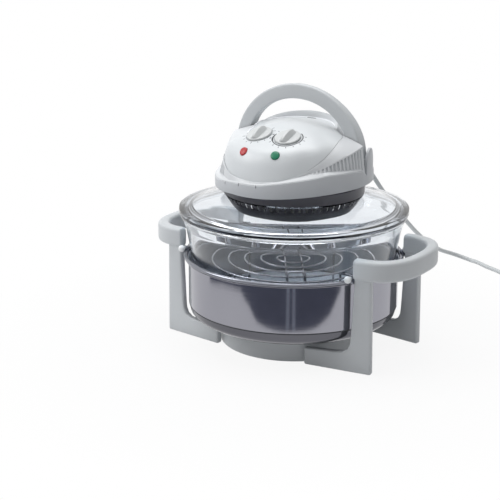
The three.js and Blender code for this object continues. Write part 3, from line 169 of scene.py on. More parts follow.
def tube(name, path, radius, sides, ring=False):
    """A round tube along points, without twist. radius is one number or one for each point."""
    pts = [Vector(p) for p in path]
    count = len(pts)
    turns = [2 * math.pi * k / sides for k in range(sides)]
    loops, side = [], None
    for i, p in enumerate(pts):
        before = pts[i - 1] if ring or i else pts[0]
        after = pts[(i + 1) % count] if ring or i < count - 1 else pts[-1]
        along = (after - before).normalized()
        if side is None:
            side = along.orthogonal().normalized()
        side = (side - along * side.dot(along)).normalized()
        other = along.cross(side)
        r = radius[i] if hasattr(radius, "__len__") else radius
        loops.append([tuple(p + (side * math.cos(t) + other * math.sin(t)) * r) for t in turns])
    return loft(name, loops, ring=ring)


def merge(name, objects):
    """Joins several objects into one mesh object."""
    work = bmesh.new()
    for obj in objects:
        mesh = obj.data
        mesh.transform(obj.matrix_world)
        work.from_mesh(mesh)
    mesh = bpy.data.meshes.new(name)
    work.to_mesh(mesh)
    work.free()
    for obj in objects:
        old = obj.data
        bpy.data.objects.remove(obj)
        bpy.data.meshes.remove(old)
    return add_object(name, mesh)


def shift(x, y, z):
    return Matrix.Translation(Vector((x, y, z)) * MM)


def spin(angle, axis="Z"):
    return Matrix.Rotation(math.radians(angle), 4, axis)


def settle(obj):
    """Applies an object's modifiers."""
    bpy.context.view_layer.update()
    graph = bpy.context.evaluated_depsgraph_get()
    mesh = bpy.data.meshes.new_from_object(obj.evaluated_get(graph))
    obj.modifiers.clear()
    obj.data = mesh
    return obj


def carve(obj, cutters, kind="DIFFERENCE", angle=SHARP):
    for cutter in cutters:
        step = obj.modifiers.new("carve", "BOOLEAN")
        step.operation = kind
        step.solver = "EXACT"
        step.object = cutter
        settle(obj)
        bpy.data.objects.remove(cutter)
    return smooth(obj, angle)


def box(name, low, high):
    x0, y0, z0 = low
    x1, y1, z1 = high
    points = [(x, y, z) for x in (x0, x1) for y in (y0, y1) for z in (z0, z1)]
    faces = [(0, 1, 3, 2), (4, 6, 7, 5), (0, 4, 5, 1), (2, 3, 7, 6), (0, 2, 6, 4), (1, 5, 7, 3)]
    return mesh_object(name, points, faces)


def soften(obj, width, segments):
    bevel = obj.modifiers.new("bevel", "BEVEL")
    bevel.width = width * MM
    bevel.segments = segments
    bevel.limit_method = "ANGLE"
    bevel.angle_limit = math.radians(BEVEL_FROM)
    settle(obj)
    return smooth(obj, BEVEL_SHARP)


# Materials
def linear(*rgb):
    return tuple((c / 255 / 12.92 if c <= 10 else ((c / 255 + 0.055) / 1.055) ** 2.4) for c in rgb)


def add_node(tree, kind, operation=None, **values):
    """A new shader node with values set on its inputs."""
    made = tree.nodes.new("ShaderNode" + kind)
    if operation:
        made.operation = operation
    for key, value in values.items():
        made.inputs[key.replace("_", " ")].default_value = value
    return made


NOISE_LOW, NOISE_HIGH = 0.3, 0.7
BUMP_DEPTH = 0.0003
LEAST_ROUGH = 0.01


def finish(
    name, rgb, rough, metal=0.0, tint=0.02, patches=14, grain=1500, relief=0.04, spread=0.05, stretch=None
):
    """A Principled material with broad colour changes, fine grain in its gloss and a fine bump."""
    mat = bpy.data.materials.new(name)
    mat.use_nodes = True
    tree = mat.node_tree
    link = tree.links.new
    shader = tree.nodes["Principled BSDF"]
    shader.inputs["Metallic"].default_value = metal
    source = add_node(tree, "TexCoord").outputs["Object"]
    broad = add_node(tree, "TexNoise", Scale=patches, Detail=3)
    link(source, broad.inputs["Vector"])
    if stretch:
        scale = add_node(tree, "Mapping", Scale=stretch)
        link(source, scale.inputs["Vector"])
        source = scale.outputs["Vector"]
    fine = add_node(tree, "TexNoise", Scale=grain, Detail=2)
    link(source, fine.inputs["Vector"])
    ramp = add_node(tree, "ValToRGB")
    colour = linear(*rgb)
    dark, pale = ramp.color_ramp.elements[0], ramp.color_ramp.elements[1]
    dark.position, pale.position = NOISE_LOW, NOISE_HIGH
    dark.color = (*[c * (1 - tint) for c in colour], 1)
    pale.color = (*[min(c * (1 + tint), 1) for c in colour], 1)
    link(broad.outputs["Fac"], ramp.inputs["Fac"])
    link(ramp.outputs["Color"], shader.inputs["Base Color"])
    gloss = add_node(tree, "MapRange", From_Min=NOISE_LOW, From_Max=NOISE_HIGH)
    gloss.inputs["To Min"].default_value = max(rough - spread, LEAST_ROUGH)
    gloss.inputs["To Max"].default_value = rough + spread
    link(fine.outputs["Fac"], gloss.inputs["Value"])
    link(gloss.outputs["Result"], shader.inputs["Roughness"])
    bump = add_node(tree, "Bump", Strength=relief, Distance=BUMP_DEPTH)
    link(fine.outputs["Fac"], bump.inputs["Height"])
    link(bump.outputs["Normal"], shader.inputs["Normal"])
    return mat


GLASS_IOR = 1.47
GLASS_SHADOW = (246, 249, 251)
GLASS_DEPTH, GLASS_DENSITY = (130, 146, 168), 12


def glass(name, rgb):
    """Clear pressed glass: it refracts, darkens with depth and lets the lamps' light through."""
    mat = finish(name, rgb, 0.0, tint=0.006, patches=20, grain=60, relief=0.02, spread=0.004)
    tree = mat.node_tree
    link = tree.links.new
    shader, out = tree.nodes["Principled BSDF"], tree.nodes["Material Output"]
    shader.inputs["Transmission Weight"].default_value = 1
    shader.inputs["IOR"].default_value = GLASS_IOR
    path = add_node(tree, "LightPath")
    through = add_node(tree, "BsdfTransparent", Color=(*linear(*GLASS_SHADOW), 1))
    mix = add_node(tree, "MixShader")
    link(path.outputs["Is Shadow Ray"], mix.inputs["Fac"])
    link(shader.outputs["BSDF"], mix.inputs[1])
    link(through.outputs["BSDF"], mix.inputs[2])
    link(mix.outputs["Shader"], out.inputs["Surface"])
    depth = add_node(tree, "VolumeAbsorption", Color=(*linear(*GLASS_DEPTH), 1), Density=GLASS_DENSITY)
    link(depth.outputs["Volume"], out.inputs["Volume"])
    return mat


housing_mat = finish("housing_plastic", (193, 197, 200), 0.42, tint=0.018)
# Lighter copy of the housing plastic for the shoulders and rear cover: painted light on top-lit surfaces
shoulder_lit_mat = finish("shoulder_plastic_painted_light", (208, 211, 214), 0.4, tint=0.014)
skirt_mat = finish("skirt_plastic", (190, 193, 197), 0.42, tint=0.018)
panel_mat = finish("panel_plastic", (208, 212, 215), 0.36, tint=0.012)
knob_mat = finish("knob_plastic", (196, 199, 200), 0.34, tint=0.012)
nut_mat = finish("nut_plastic", (236, 238, 240), 0.32, tint=0.012)
ink_mat = finish("dial_ink", (38, 40, 46), 0.6, tint=0.06)
faint_ink_mat = finish("faint_ink", (92, 96, 104), 0.6, tint=0.06)
# Dark grey for shaded gaps and slots: painted shade
shadow_mat = finish("painted_shade_grey", (58, 60, 64), 0.7, tint=0.05)
steel_mat = finish(
    "polished_steel", (150, 150, 158), 0.1, 1.0, grain=9, relief=0.035, spread=0.04, stretch=(1, 1, 160)
)
# Lighter steel for the shell's inside: painted light inside the bowl
lit_shell_lining_mat = finish("shell_lining_painted_light", (160, 162, 168), 0.45, 0.6, tint=0.03, grain=700, relief=0.03)
chrome_mat = finish("chrome_wire", (150, 151, 157), 0.14, 1.0, tint=0.03, grain=900, relief=0.03)
# Darker copy of the chrome for the support ring: painted shade
ring_shade_mat = finish("band_chrome_painted_shade", (132, 134, 142), 0.2, 1.0, tint=0.03, grain=900, relief=0.03)
collar_mat = finish("collar_metal", (74, 74, 80), 0.38, 0.4, tint=0.05, grain=1100, relief=0.05)
spacer_mat = finish("dark_plastic", (40, 40, 44), 0.55, tint=0.08)
guard_mat = finish("guard_enamel", (44, 43, 47), 0.38, 0.2, tint=0.08)
ceramic_mat = finish("ceramic", (226, 224, 216), 0.6, tint=0.03)
quartz_mat = finish("quartz", (232, 230, 224), 0.12, tint=0.02)
red_mat = finish("red_lens", (168, 22, 26), 0.36, tint=0.08, patches=160)
green_mat = finish("green_lens", (0, 112, 80), 0.36, tint=0.08, patches=160)
pin_mat = finish("pin_steel", (190, 190, 194), 0.25, 1.0, tint=0.03)
fan_mat = finish("fan_aluminium", (205, 206, 208), 0.35, 1.0, tint=0.03)
motor_mat = finish("motor_metal", (110, 108, 106), 0.5, 0.7, tint=0.06)
cord_mat = finish("cord_sheath", (196, 200, 202), 0.48, tint=0.02)
glass_mat = glass("clear_glass", (250, 252, 254))
# Darker copy of the glass for the lid's lower outer rim: painted shade
rim_shade_mat = glass("glass_rim_painted_shade", (122, 128, 142))
# White for the dish's inside: painted light inside the bowl
lit_dish_lining_mat = finish("dish_lining_painted_light", (228, 229, 233), 0.5, tint=0.015)
# Lighter copy of the panel plastic for the trim bead: painted highlight
trim_highlight_mat = finish("panel_trim_highlight", (234, 236, 240), 0.3, tint=0.01)
# Darker copy of the polished steel for the dish: painted dark reflection
dish_shade_mat = finish("dish_steel_painted_shade", (100, 100, 106), 0.16, 1.0, tint=0.03, grain=500, relief=0.03)


def dress(obj, body, mat, slot, *replaced):
    obj.data.materials.clear()
    obj.data.materials.append(mat)
    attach(obj, body)
    if replaced:
        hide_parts(*replaced)
    return obj


def dress_node(name, mat):
    obj = nodes[name]
    if not obj.material_slots:
        obj.data.materials.append(mat)
    for slot in obj.material_slots:
        slot.material = mat


# Cord, coil and plug
CORD = 7.0
GLAND_LEVEL = 250.8
CORD_START = 143.3
CORD_GAP = 0.3
COIL_TURNS, COIL_STEPS, CLIMB_TURNS = 2.5, 120, 0.5
cord_level = CORD / 2 + CORD_GAP
coil_centre = (214.0, 414.0)
coil_outer, coil_pitch, coil_lift, coil_tail = 43.0, 8.8, 7.6, 35.0
entry = math.radians(150)


def on_coil(radius, turn, z):
    x, y = coil_centre
    return Vector((x + radius * math.cos(turn), y + radius * math.sin(turn), z))


coil_along = Vector((math.sin(entry), -math.cos(entry), 0))
cord_end = on_coil(coil_outer, entry, cord_level) - coil_along * (CORD + CORD_GAP)
route = [(0, CORD_START + CORD, GLAND_LEVEL), (3, 178, 239), (9, 212, 212), (16, 252, 169.5)]
route += [(25, 314, 112.5), (28.5, 357, 79), (30, 402, 51), (32, 446, 29), (44, 484, 13)]
route += [(72, 494, cord_level), (108, 474, cord_level), (145, 452.5, cord_level)]
route.append(tuple(cord_end - coil_along * CORD))


def catmull(points, samples):
    """A centripetal Catmull-Rom curve through points."""
    pts = [Vector(p) for p in points]
    pts = [pts[0] * 2 - pts[1], *pts, pts[-1] * 2 - pts[-2]]
    out = []
    for i in range(1, len(pts) - 2):
        p = pts[i - 1 : i + 3]
        t = [0.0]
        for k in range(3):
            t.append(t[-1] + (p[k + 1] - p[k]).length ** 0.5)
        for k in range(samples):
            s = t[1] + (t[2] - t[1]) * k / samples
            a = [(p[j] * (t[j + 1] - s) + p[j + 1] * (s - t[j])) / (t[j + 1] - t[j]) for j in range(3)]
            b = [(a[j] * (t[j + 2] - s) + a[j + 1] * (s - t[j])) / (t[j + 2] - t[j]) for j in range(2)]
            out.append((b[0] * (t[2] - s) + b[1] * (s - t[1])) / (t[2] - t[1]))
    out.append(pts[-2])
    return out


cord_line = [Vector((0, CORD_START, GLAND_LEVEL))]
for p in catmull(route, 10):
    cord_line.append(Vector((p.x, p.y, max(p.z, cord_level))))
cord_line.append(cord_end)
for i in range(COIL_STEPS + 1):
    turns = COIL_TURNS * i / COIL_STEPS
    inward, outward = min(turns, 1), max(turns - (COIL_TURNS - 1), 0)
    climb = min(max((turns - 1) / CLIMB_TURNS, 0), 1)
    reach = coil_outer - coil_pitch * (inward - outward)
    cord_line.append(on_coil(reach, entry - 2 * math.pi * turns, cord_level + coil_lift * climb))
last_turn = entry - 2 * math.pi * COIL_TURNS
coil_out = Vector((math.sin(last_turn), -math.cos(last_turn), 0))
cord_line.append(cord_line[-1] + coil_out * coil_tail)
cord = tube("power_cord", cord_line, CORD / 2, sides=16)
dress(cord, "lid_head", cord_mat, "cord_sheath", "cord", "cord_coil")

plug_place = Matrix.Translation((cord_line[-1] + coil_out * CORD_GAP) * MM)
plug_place = plug_place @ Matrix.Rotation(math.atan2(coil_out.y, coil_out.x), 4, "Z")
PLUG_HALF, PIN_OFF = 9, 9.5
plug_corners = ((-1, -PLUG_HALF), (1, -PLUG_HALF), (1, PLUG_HALF), (-1, PLUG_HALF))
plug_loops = [[(x, s * w / 2, z) for s, z in plug_corners] for x, w in ((10, 13), (19, 30), (42, 30))]
plug_parts = [
    soften(loft("shell", plug_loops), 3, 4),
    tube("neck", [(0, 0, 0), (3, 0, 0), (11, 0, 0)], [4.6, 6, 6.4], 20),
]
for k in range(4):
    plug_parts.append(tube("rib", [(1.4 + 2.3 * k, 0, 0), (2.6 + 2.3 * k, 0, 0)], 6.4 - 0.1 * k, 20))
plug_body = merge("plug_body", plug_parts)
plug_body.data.transform(plug_place)
smooth(plug_body, 40)
dress(plug_body, "lid_head", cord_mat, "cord_sheath", "plug")
pin_profile = ((41.7, 2.4), (54.5, 2.4), (56.4, 2.0), (57.2, 1.0))
pins = []
for s in (-1, 1):
    pin_line = [(x, s * PIN_OFF, 0) for x, r in pin_profile]
    pins.append(tube("pin", pin_line, [r for x, r in pin_profile], 16))
plug_pins = merge("plug_pins", pins)
plug_pins.data.transform(plug_place)
dress(plug_pins, "lid_head", pin_mat, "pin_steel")

# Strain relief: flange and a tapered, ribbed boot
BOOT_LENGTH, BOOT_RIBS, RIB_STEP, BOOT_TAPER, GROOVE_DEPTH = 35, 6, 4.4, 0.11, 0.7
boot = [(CORD_START - BOOT_LENGTH, 4.0), (112.9, 4.0), (113.3, 5.0), (115.3, 5.0), (115.6, 4.7)]
for k in range(BOOT_RIBS):
    y, r = 117 + RIB_STEP * k, 4.8 - BOOT_TAPER * k
    boot += [(y, r), (y + 0.4, r - GROOVE_DEPTH), (y + 1.5, r - GROOVE_DEPTH), (y + 1.9, r)]
boot += [(142.2, 4.2), (143.0, 4.0)]
gland = tube("strain_boot", [(0, y, GLAND_LEVEL) for y, r in boot], [r for y, r in boot], 24)
dress(gland, "lid_head", cord_mat, "cord_sheath", "strain_relief")

# Base ring under the bowl
BASE_IN, BASE_OUT, BASE_TOP = 98, 106, 28.7
base_profile = [(BASE_IN, 0), (BASE_OUT, 0), (BASE_OUT, BASE_TOP), (BASE_IN, BASE_TOP)]
base = lathe("base_rim", fillet(base_profile, [1, 2, 2.5, 1]))
dress(base, "stand", housing_mat, "housing", "base_ring")

# Dish and polished shell
dish_table = [(152.2, 58), (149.5, 47.2), (139.2, 38.6), (121.7, 32.4), (106, 29)]
DISH_FLOOR, DISH_SHEET, DISH_RISE, DISH_LIP = 29, 1.5, 1.2, 57
dish_keys = range(len(dish_table))
dish_r = table(dish_keys, [r for r, z in dish_table])
dish_z = table(dish_keys, [z for r, z in dish_table])
outer = [(dish_r(k / 4), dish_z(k / 4)) for k in range(17)]
dish_inner = [(r - DISH_SHEET, z + (DISH_RISE if z < DISH_LIP else 0)) for r, z in outer]
dish_profile = [(0, DISH_FLOOR), *outer[::-1], *dish_inner, (0, DISH_FLOOR + DISH_SHEET)]
dish = lathe("shell_dish", dish_profile, closed=False)
# The dish takes the darker steel copy: painted dark reflection
dress(dish, "stand", dish_shade_mat, "polished_steel", "shell_base")
SHELL_IN, SHELL_OUT = 151.3, 152.5
shell_profile = [(SHELL_IN, 58.3), *[(SHELL_OUT, z) for z in (58.3, 59.3, 60.3, 121, 122, 123)]]
shell_profile += [(153.4, 124.2), (157.5, 124.2), (157.5, 125.2), (152.6, 125.2), (SHELL_IN, 123.6)]
shell = lathe("shell_wall", fillet(shell_profile, 0.5, 3), 256)
dress(shell, "stand", steel_mat, "polished_steel", "steel_shell")
# Inward faces and low upward faces of shell and dish take the lighter linings: painted light
INWARD, UPWARD, DISH_DEPTH = -0.01, 0.5, 0.056
for sheet, lit_lining in ((dish, lit_dish_lining_mat), (shell, lit_shell_lining_mat)):
    sheet.data.materials.append(lit_lining)
    for face in sheet.data.polygons:
        inward = face.normal.x * face.center.x + face.normal.y * face.center.y
        if inward < INWARD or (face.normal.z > UPWARD and face.center.z < DISH_DEPTH):
            face.material_index = 1
# A dark ring filling the gap between dish and shell: painted shadow line
seam_profile = [(149.4, 56.6), (152.3, 56.6), (152.3, 58.25), (149.4, 58.25)]
shadow_ring = lathe("shell_seam_shadow", fillet(seam_profile, 0.2, 2), 192)
dress(shadow_ring, "stand", shadow_mat, "dark_plastic")

# Support ring with its clips, and the four nuts
RING_R, RING_WIRE, RING_LEVEL = 156.5, 3, 128.5
POST_FOOT, POST_LEAN, POST_HEIGHT = 138, 6.5, 133
CLIP_HALF, CLIP_THICK, CLIP_LOW, CLIP_HIGH, CLIP_SET = 5, 3, 126.2, 136, 1.6
NUT_GAP, NUT_LEVEL = 1.8, 133.5
ring_bits = [tube("ring", [at(RING_R, 2 * i, RING_LEVEL) for i in range(180)], RING_WIRE, 16, ring=True)]
clip_x = POST_FOOT + POST_LEAN * (POST_HEIGHT - 2 - CLIP_HALF) / POST_HEIGHT - CLIP_SET - CLIP_HALF
clip_y = math.sqrt(RING_R**2 - clip_x**2) + RING_WIRE
for sx in (-1, 1):
    for sy in (-1, 1):
        x, y = sx * clip_x, sy * clip_y
        low = (x - CLIP_HALF, y - CLIP_THICK / 2, CLIP_LOW)
        clip = box("clip", low, (x + CLIP_HALF, y + CLIP_THICK / 2, CLIP_HIGH))
        ring_bits.append(soften(clip, 1, 2))
ring = merge("ring_band", ring_bits)
smooth(ring, 40)
dress(ring, "stand", ring_shade_mat, "chrome_wire", "support_ring")
ball = [(0, 11.5), (1.6, 11.4), (3.2, 10.6), (4.4, 9.2), (5, 7.3), (5, 6.1)]
ball += [(4.5, 4.6), (3.7, 3.4), (2.5, 2.6), (2.5, 0), (0, 0)]
for sx, side in ((-1, "left"), (1, "right")):
    for sy, end in ((-1, "front"), (1, "rear")):
        knob = lathe("ball", ball, 32, closed=False)
        turn = spin(90 if sy < 0 else -90, "X")
        knob.data.transform(shift(sx * clip_x, sy * (clip_y + NUT_GAP), NUT_LEVEL) @ turn)
        knob.name = f"ring_nut_{end}_{side}"
        dress(knob, "stand", nut_mat, "knob_plastic", f"ring_knob_{end}_{side}")


def super_arc(half, reach, start, steps):
    out = []
    for i in range(steps + 1):
        turn = -math.pi / 2 + math.pi * i / steps
        c, s = max(math.cos(turn), 0), math.sin(turn)
        out.append((start + reach * c ** (2 / 2.6), half * math.copysign(abs(s) ** (2 / 2.6), s)))
    return out


def resample(points, count):
    pts = np.array(points, float)
    run = np.concatenate([[0], np.cumsum(np.linalg.norm(np.diff(pts, axis=0), axis=1))])
    stops = np.linspace(0, run[-1], count)
    return [(float(np.interp(d, run, pts[:, 0])), float(np.interp(d, run, pts[:, 1]))) for d in stops]


# Side frames: a bent grip on two flat posts
GRIP_X, GRIP_BEND, GRIP_LOW, GRIP_HIGH, GRIP_ROUND = 142, 147, 133, 161.5, 5.8
PLATE_X, PLATE_Y, PLATE_TURN, PLATE_THICK = 171, 77.6, 7.1, 10


def grip_line(half, reach):
    """One edge of the grip from above, with close points at both ends."""
    line = resample([(GRIP_X, -half), *super_arc(half, reach, GRIP_BEND, 200), (GRIP_X, half)], 72)
    end = [(GRIP_X + 2, half), (GRIP_X + 0.6, half), (GRIP_X, half)]
    return [*[(x, -y) for x, y in end[::-1]], *line[2:-2], *end]


def side_frame(sign):
    side = "right" if sign > 0 else "left"
    outside, inside = grip_line(83, 66), grip_line(67, 50)
    loops = []
    for i, (o, n) in enumerate(zip(outside, inside)):
        o, n = np.array(o), np.array(n)
        width = float(np.linalg.norm(o - n))
        across = (o - n) / width
        inset = {0: 3.6, 1: 1.6, 2: 0.4}.get(min(i, len(outside) - 1 - i), 0)
        low, high = GRIP_LOW + inset, GRIP_HIGH - inset
        corners = [(inset, low), (width - inset, low), (width - inset, high), (inset, high)]
        section = fillet(corners, GRIP_ROUND, 6)
        loops.append([(n[0] + across[0] * d, n[1] + across[1] * d, z) for d, z in section])
    grip = loft("grip", loops)
    outline = [(72, 0), (PLATE_X, 0), (168.5, 138), (144.5, 138), (140.5, 51)]
    outline += [(139.5, 40), (136, 33), (129, 28.5), (116.5, 27), (72, 25)]
    plates = []
    for sy in (-1, 1):
        plate = loft("plate", [[(x - PLATE_X, y, z) for x, z in outline] for y in (0, PLATE_THICK)])
        inward = shift(0, 0 if sy < 0 else -PLATE_THICK, 0)
        plate.data.transform(shift(PLATE_X, sy * PLATE_Y, 0) @ spin(-sy * PLATE_TURN) @ inward)
        plates.append(soften(plate, 3, 4))
    carve(grip, plates, "UNION")
    clear = [(0, -5), (BASE_OUT + 0.3, -5), (BASE_OUT + 0.3, BASE_TOP + 1), (0, BASE_TOP + 1)]
    carve(grip, [lathe("clear", clear, 96, closed=False)])
    grip.name = "stand_side_" + side
    if sign < 0:
        grip.data.transform(Matrix.Scale(-1, 4, (1, 0, 0)))
        grip.data.flip_normals()
    return dress(grip, "stand", housing_mat, "housing", "side_frame_" + side)


side_frame(1)
side_frame(-1)

# Bowl
BODY_R, BOWL_LOW, BOWL_TOP, RIM_HEIGHT, BOWL_WALL, BOWL_FLOOR = 158.5, 30.8, 192.3, 5.5, 5, 6
bowl_shares = [(0.62, 0), (0.79, 0.045), (0.865, 0.125), (0.903, 0.27)]
bowl_shares += [(0.932, 0.575), (0.981, 0.9), (1, 0.95)]
bowl_rise = BOWL_TOP - RIM_HEIGHT - BOWL_LOW
keys = range(len(bowl_shares))
bowl_r = table(keys, [r * BODY_R for r, z in bowl_shares])
bowl_z = table(keys, [BOWL_LOW + z * bowl_rise for r, z in bowl_shares])
wall_out = [(bowl_r(k / 6), bowl_z(k / 6)) for k in range(6 * (len(bowl_shares) - 1) + 1)]
wall_in = []
for k in range(6 * (len(bowl_shares) - 2) + 1):
    s = k / 6
    wall_in.append((bowl_r(s) - BOWL_WALL, bowl_z(s) + BOWL_FLOOR * max(0, 1 - s / 2)))
rim = [(161.5, 186.8), (163, 188), (163, BOWL_TOP), (154, BOWL_TOP), (153.3, 188)]
rim = fillet(rim, [1, 1.5, 2.2, 2.2, 2], 5)
bowl_profile = [(0, BOWL_LOW), *wall_out, *rim, *wall_in[::-1], (0, BOWL_LOW + BOWL_FLOOR)]
bowl = lathe("bowl_glass", bowl_profile, closed=False)
dress(bowl, "bowl", glass_mat, "clear_glass", "glass_bowl")

# Rack
RACK_R, RACK_STEP, RACK_LEVEL, RACK_TURN = 118, 23.6, 121.3, -56.6
BAR_Z, BAR_Y, LOOP_X = 119, 12, 116.4
WIRE, BAR_WIRE = 1.5, 1.6


def wire_ring(radius, level, count):
    return tube("wire", [at(radius, 360 * k / count, level) for k in range(count)], WIRE, 8, ring=True)


bits = [wire_ring(RACK_STEP * i, RACK_LEVEL, 24 + 12 * i) for i in range(1, 6)]
for s in (-1, 1):
    bits.append(tube("bar", [(-RACK_R, BAR_Y * s, BAR_Z), (RACK_R, BAR_Y * s, BAR_Z)], BAR_WIRE, 8))
for e in (-1, 1):
    loop = [(e * LOOP_X, -y, BAR_Z + up) for y, up in ((BAR_Y, 0), (BAR_Y, 13), (11, 16), (8.5, 17))]
    loop += [(x, -y, z) for x, y, z in reversed(loop)]
    bits.append(tube("loop", loop, BAR_WIRE, 8))
leg_line = ((RACK_R, BAR_Z), (94, BAR_Z), (91, BAR_Z - 1), (90, BAR_Z - 4), (90, 40), (90, 37.2))
for k in range(4):
    bits.append(tube("leg", [at(r, 45 + 90 * k, z) for r, z in leg_line], BAR_WIRE, 8))
rack = merge("rack_wires", bits)
rack.data.transform(spin(RACK_TURN))
smooth(rack, 60)
dress(rack, "rack", chrome_mat, "chrome_wire", "wire_rack")

# Lid
LID_R, LID_LOW, LID_BORE, LID_BEND, LID_THICK = 165, 192.6, 99, 163.4, 4
SHADE_FROM_R, SHADE_BELOW_Z = 0.1615, 0.1966
crown = table([LID_BORE, 109, 130.4, 153.5, LID_BEND], [28.5, 25.65, 17.95, 9.7, 8.0])
curve = []
for k in range(25):
    r = LID_BEND - (LID_BEND - LID_BORE) * k / 24
    curve.append((r, LID_LOW + crown(r)))
under = [(r, z - LID_THICK) for r, z in curve if r < 147]
lid_line = [(LID_BORE, LID_LOW + 24.5), *under[::-1][1:], (148, 194.6), (148, 189.6), (153, 189.6)]
lid_line += [(153, LID_LOW), (163.6, LID_LOW), *[(LID_R, z) for z in (194, 196.4, 198.4)], (164.6, 199.9)]
lid_line += curve
lid_profile = [p for i, p in enumerate(lid_line) if i == 0 or math.dist(p, lid_line[i - 1]) > 0.2]
lid = lathe("lid_glass", lid_profile)
dress(lid, "lid_head", glass_mat, "clear_glass", "glass_lid")
# Faces of the lid's lower outer rim take the darker glass: painted shade along the rim's edge
lid.data.materials.append(rim_shade_mat)
for face in lid.data.polygons:
    if math.hypot(face.center.x, face.center.y) > SHADE_FROM_R and face.center.z < SHADE_BELOW_Z:
        face.material_index = 1

# Collar, spacer, guard, grille, reflector and lamp
collar_profile = [(60, 234.4), (97, 234.4), (99, 232), (99, 221.4), (101, 221.4), (101, 236.4), (60, 236.4)]
collar = lathe("collar_band", fillet(collar_profile, [0, 1, 1, 0.3, 0.5, 1.6, 0], 4), 192)
dress(collar, "lid_head", collar_mat, "collar_metal", "lid_collar")
spacer_profile = [(60, 236.7), (96, 236.7), (96, 243.1), (60, 243.1)]
spacer = lathe("spacer_band", fillet(spacer_profile, [0, 1, 1, 0], 4))
dress(spacer, "lid_head", spacer_mat, "dark_plastic", "heat_spacer")
guard_profile = [(80, 195.1), (82, 195.1), (97, 214.1), (97, 234.1), (95, 234.1), (95, 214.1)]
guard = lathe("guard_shell", fillet(guard_profile, [0.5, 0.9, 3, 0.4, 0.4, 3], 4), 240)
GUARD_SLOTS, SLOT_HALF = 60, 1.7
slots = []
for k in range(GUARD_SLOTS):
    slot = box("slot", (76, -SLOT_HALF, 210.2), (100, SLOT_HALF, 217.6))
    slot.data.transform(spin(360 / GUARD_SLOTS * k))
    slots.append(slot)
carve(guard, [merge("slots", slots)])
dress(guard, "lid_head", guard_mat, "guard_metal", "lamp_guard")
GRILLE_R, GRILLE_LEVEL = 78.2, 196.6
bits = [wire_ring(GRILLE_R / 2, GRILLE_LEVEL, 60), wire_ring(GRILLE_R, GRILLE_LEVEL, 96)]
for turn in (45, 135):
    ends = [at(GRILLE_R, turn, GRILLE_LEVEL), at(-GRILLE_R, turn, GRILLE_LEVEL)]
    bits.append(tube("spoke", ends, WIRE, 8))
grille = merge("grille_wires", bits)
smooth(grille, 60)
dress(grille, "lid_head", chrome_mat, "chrome_wire", "lamp_grille")
reflector_profile = [(7, 227.1), (60, 227.1), (88, 225.5), (93.2, 224.1), (94.7, 224.1)]
reflector_profile += [(94.7, 228.6), (7, 228.6)]
reflector = lathe("reflector_pan", fillet(reflector_profile, [0, 3, 3, 0.5, 0.5, 0.5, 0], 3))
dress(reflector, "lid_head", chrome_mat, "polished_steel", "reflector")
LAMP_R, LAMP_WIRE, LAMP_LEVEL, LAMP_FROM, LAMP_TURN = 62, 4.5, 206.1, 103, 334
lamp_arc = [at(LAMP_R, LAMP_FROM + LAMP_TURN * k / 80, LAMP_LEVEL) for k in range(81)]
lamp = tube("lamp_tube", lamp_arc, LAMP_WIRE, 16)
dress(lamp, "lid_head", quartz_mat, "quartz", "halogen_lamp")
kept_nodes = (
    (ceramic_mat, ("lamp_holder_left", "lamp_holder_right", "terminal_block")),
    (spacer_mat, ("timer_unit", "heat_unit", "safety_switch", "cooling_fan")),
    (motor_mat, ("fan_motor",)),
    (pin_mat, ("handle_pin_left", "handle_pin_right", "motor_shaft")),
)
for mat, names in kept_nodes:
    for name in names:
        dress_node(name, mat)

# Hot air fan
FAN_R, FAN_LOW, FAN_HIGH, FAN_EDGE, HUB_R, SHAFT_R = 50, 215.1, 224.1, 0.3, 9, 3.3
BLADES, BLADE_ROOT, BLADE_HALF, BLADE_BEND, BLADE_PITCH = 8, 8, 45, 14, 5
hub = [(SHAFT_R, FAN_LOW), (HUB_R, FAN_LOW), (HUB_R, FAN_HIGH), (SHAFT_R, FAN_HIGH)]
bits = [lathe("hub", fillet(hub, 0.6, 3), 48)]
for k in range(BLADES):
    loops = []
    for i in range(9):
        r = BLADE_ROOT + (FAN_R - BLADE_ROOT) * i / 8
        low = BLADE_BEND * (r / FAN_R) ** 2
        high, half = low + BLADE_PITCH, BLADE_HALF / r
        foot = [at(r, low + s * half, FAN_LOW + FAN_EDGE) for s in (-1, 1)]
        loops.append(foot + [at(r, high + s * half, FAN_HIGH - FAN_EDGE) for s in (1, -1)])
    blade = loft("blade", loops)
    blade.data.transform(spin(360 / BLADES * k))
    bits.append(blade)
air_fan = merge("air_fan", bits)
smooth(air_fan, 40)
dress(air_fan, "fan", fan_mat, "fan_aluminium", "hot_air_fan")

# Head: its sizes and the tables that all its pieces read
HEAD, HEAD_RISE, LEVEL, SEAM = 113.0, 86.5, 236.4, 29.5
FLOOR, FLOOR_TOP = 243.4, 245.0
DECK = LEVEL + 0.66 * SEAM
PIVOT_Y, PIVOT_Z = 15.0, 268.0
HEAD_TOP = LEVEL + HEAD_RISE
SLOT_FRONT = 3.6
SKIRT_LIP, SKIRT_IN, FLOOR_BORE = 108.3, 110.5, 26
EAR_IN, EAR_Y, EAR_HALF, EAR_RISE = 109, 21.5, 14, 24
seam_share = table(
    [-188, -185, -183.5, -180, -165, -150, -135, -123, -101, -86, -73, -57, -45, -33, -18, -2, 1.5, 4],
    [0.66, 0.66, 0.63, 0.6, 0.44, 0.35, 0.32, 0.356, 0.461, 0.49, 0.62, 0.786, 0.895, 1, 1, 0.9, 0.72, 0.66],
)
front_angles = [0, 20, 38, 51, 66, 78, 90, 92, 97, 106, 120, 150, 180]
edge_share = table(
    front_angles, [0.945, 0.945, 0.915, 0.885, 0.8, 0.735, 0.685, 0.67, 0.56, 0.51, 0.49, 0.46, 0.45]
)
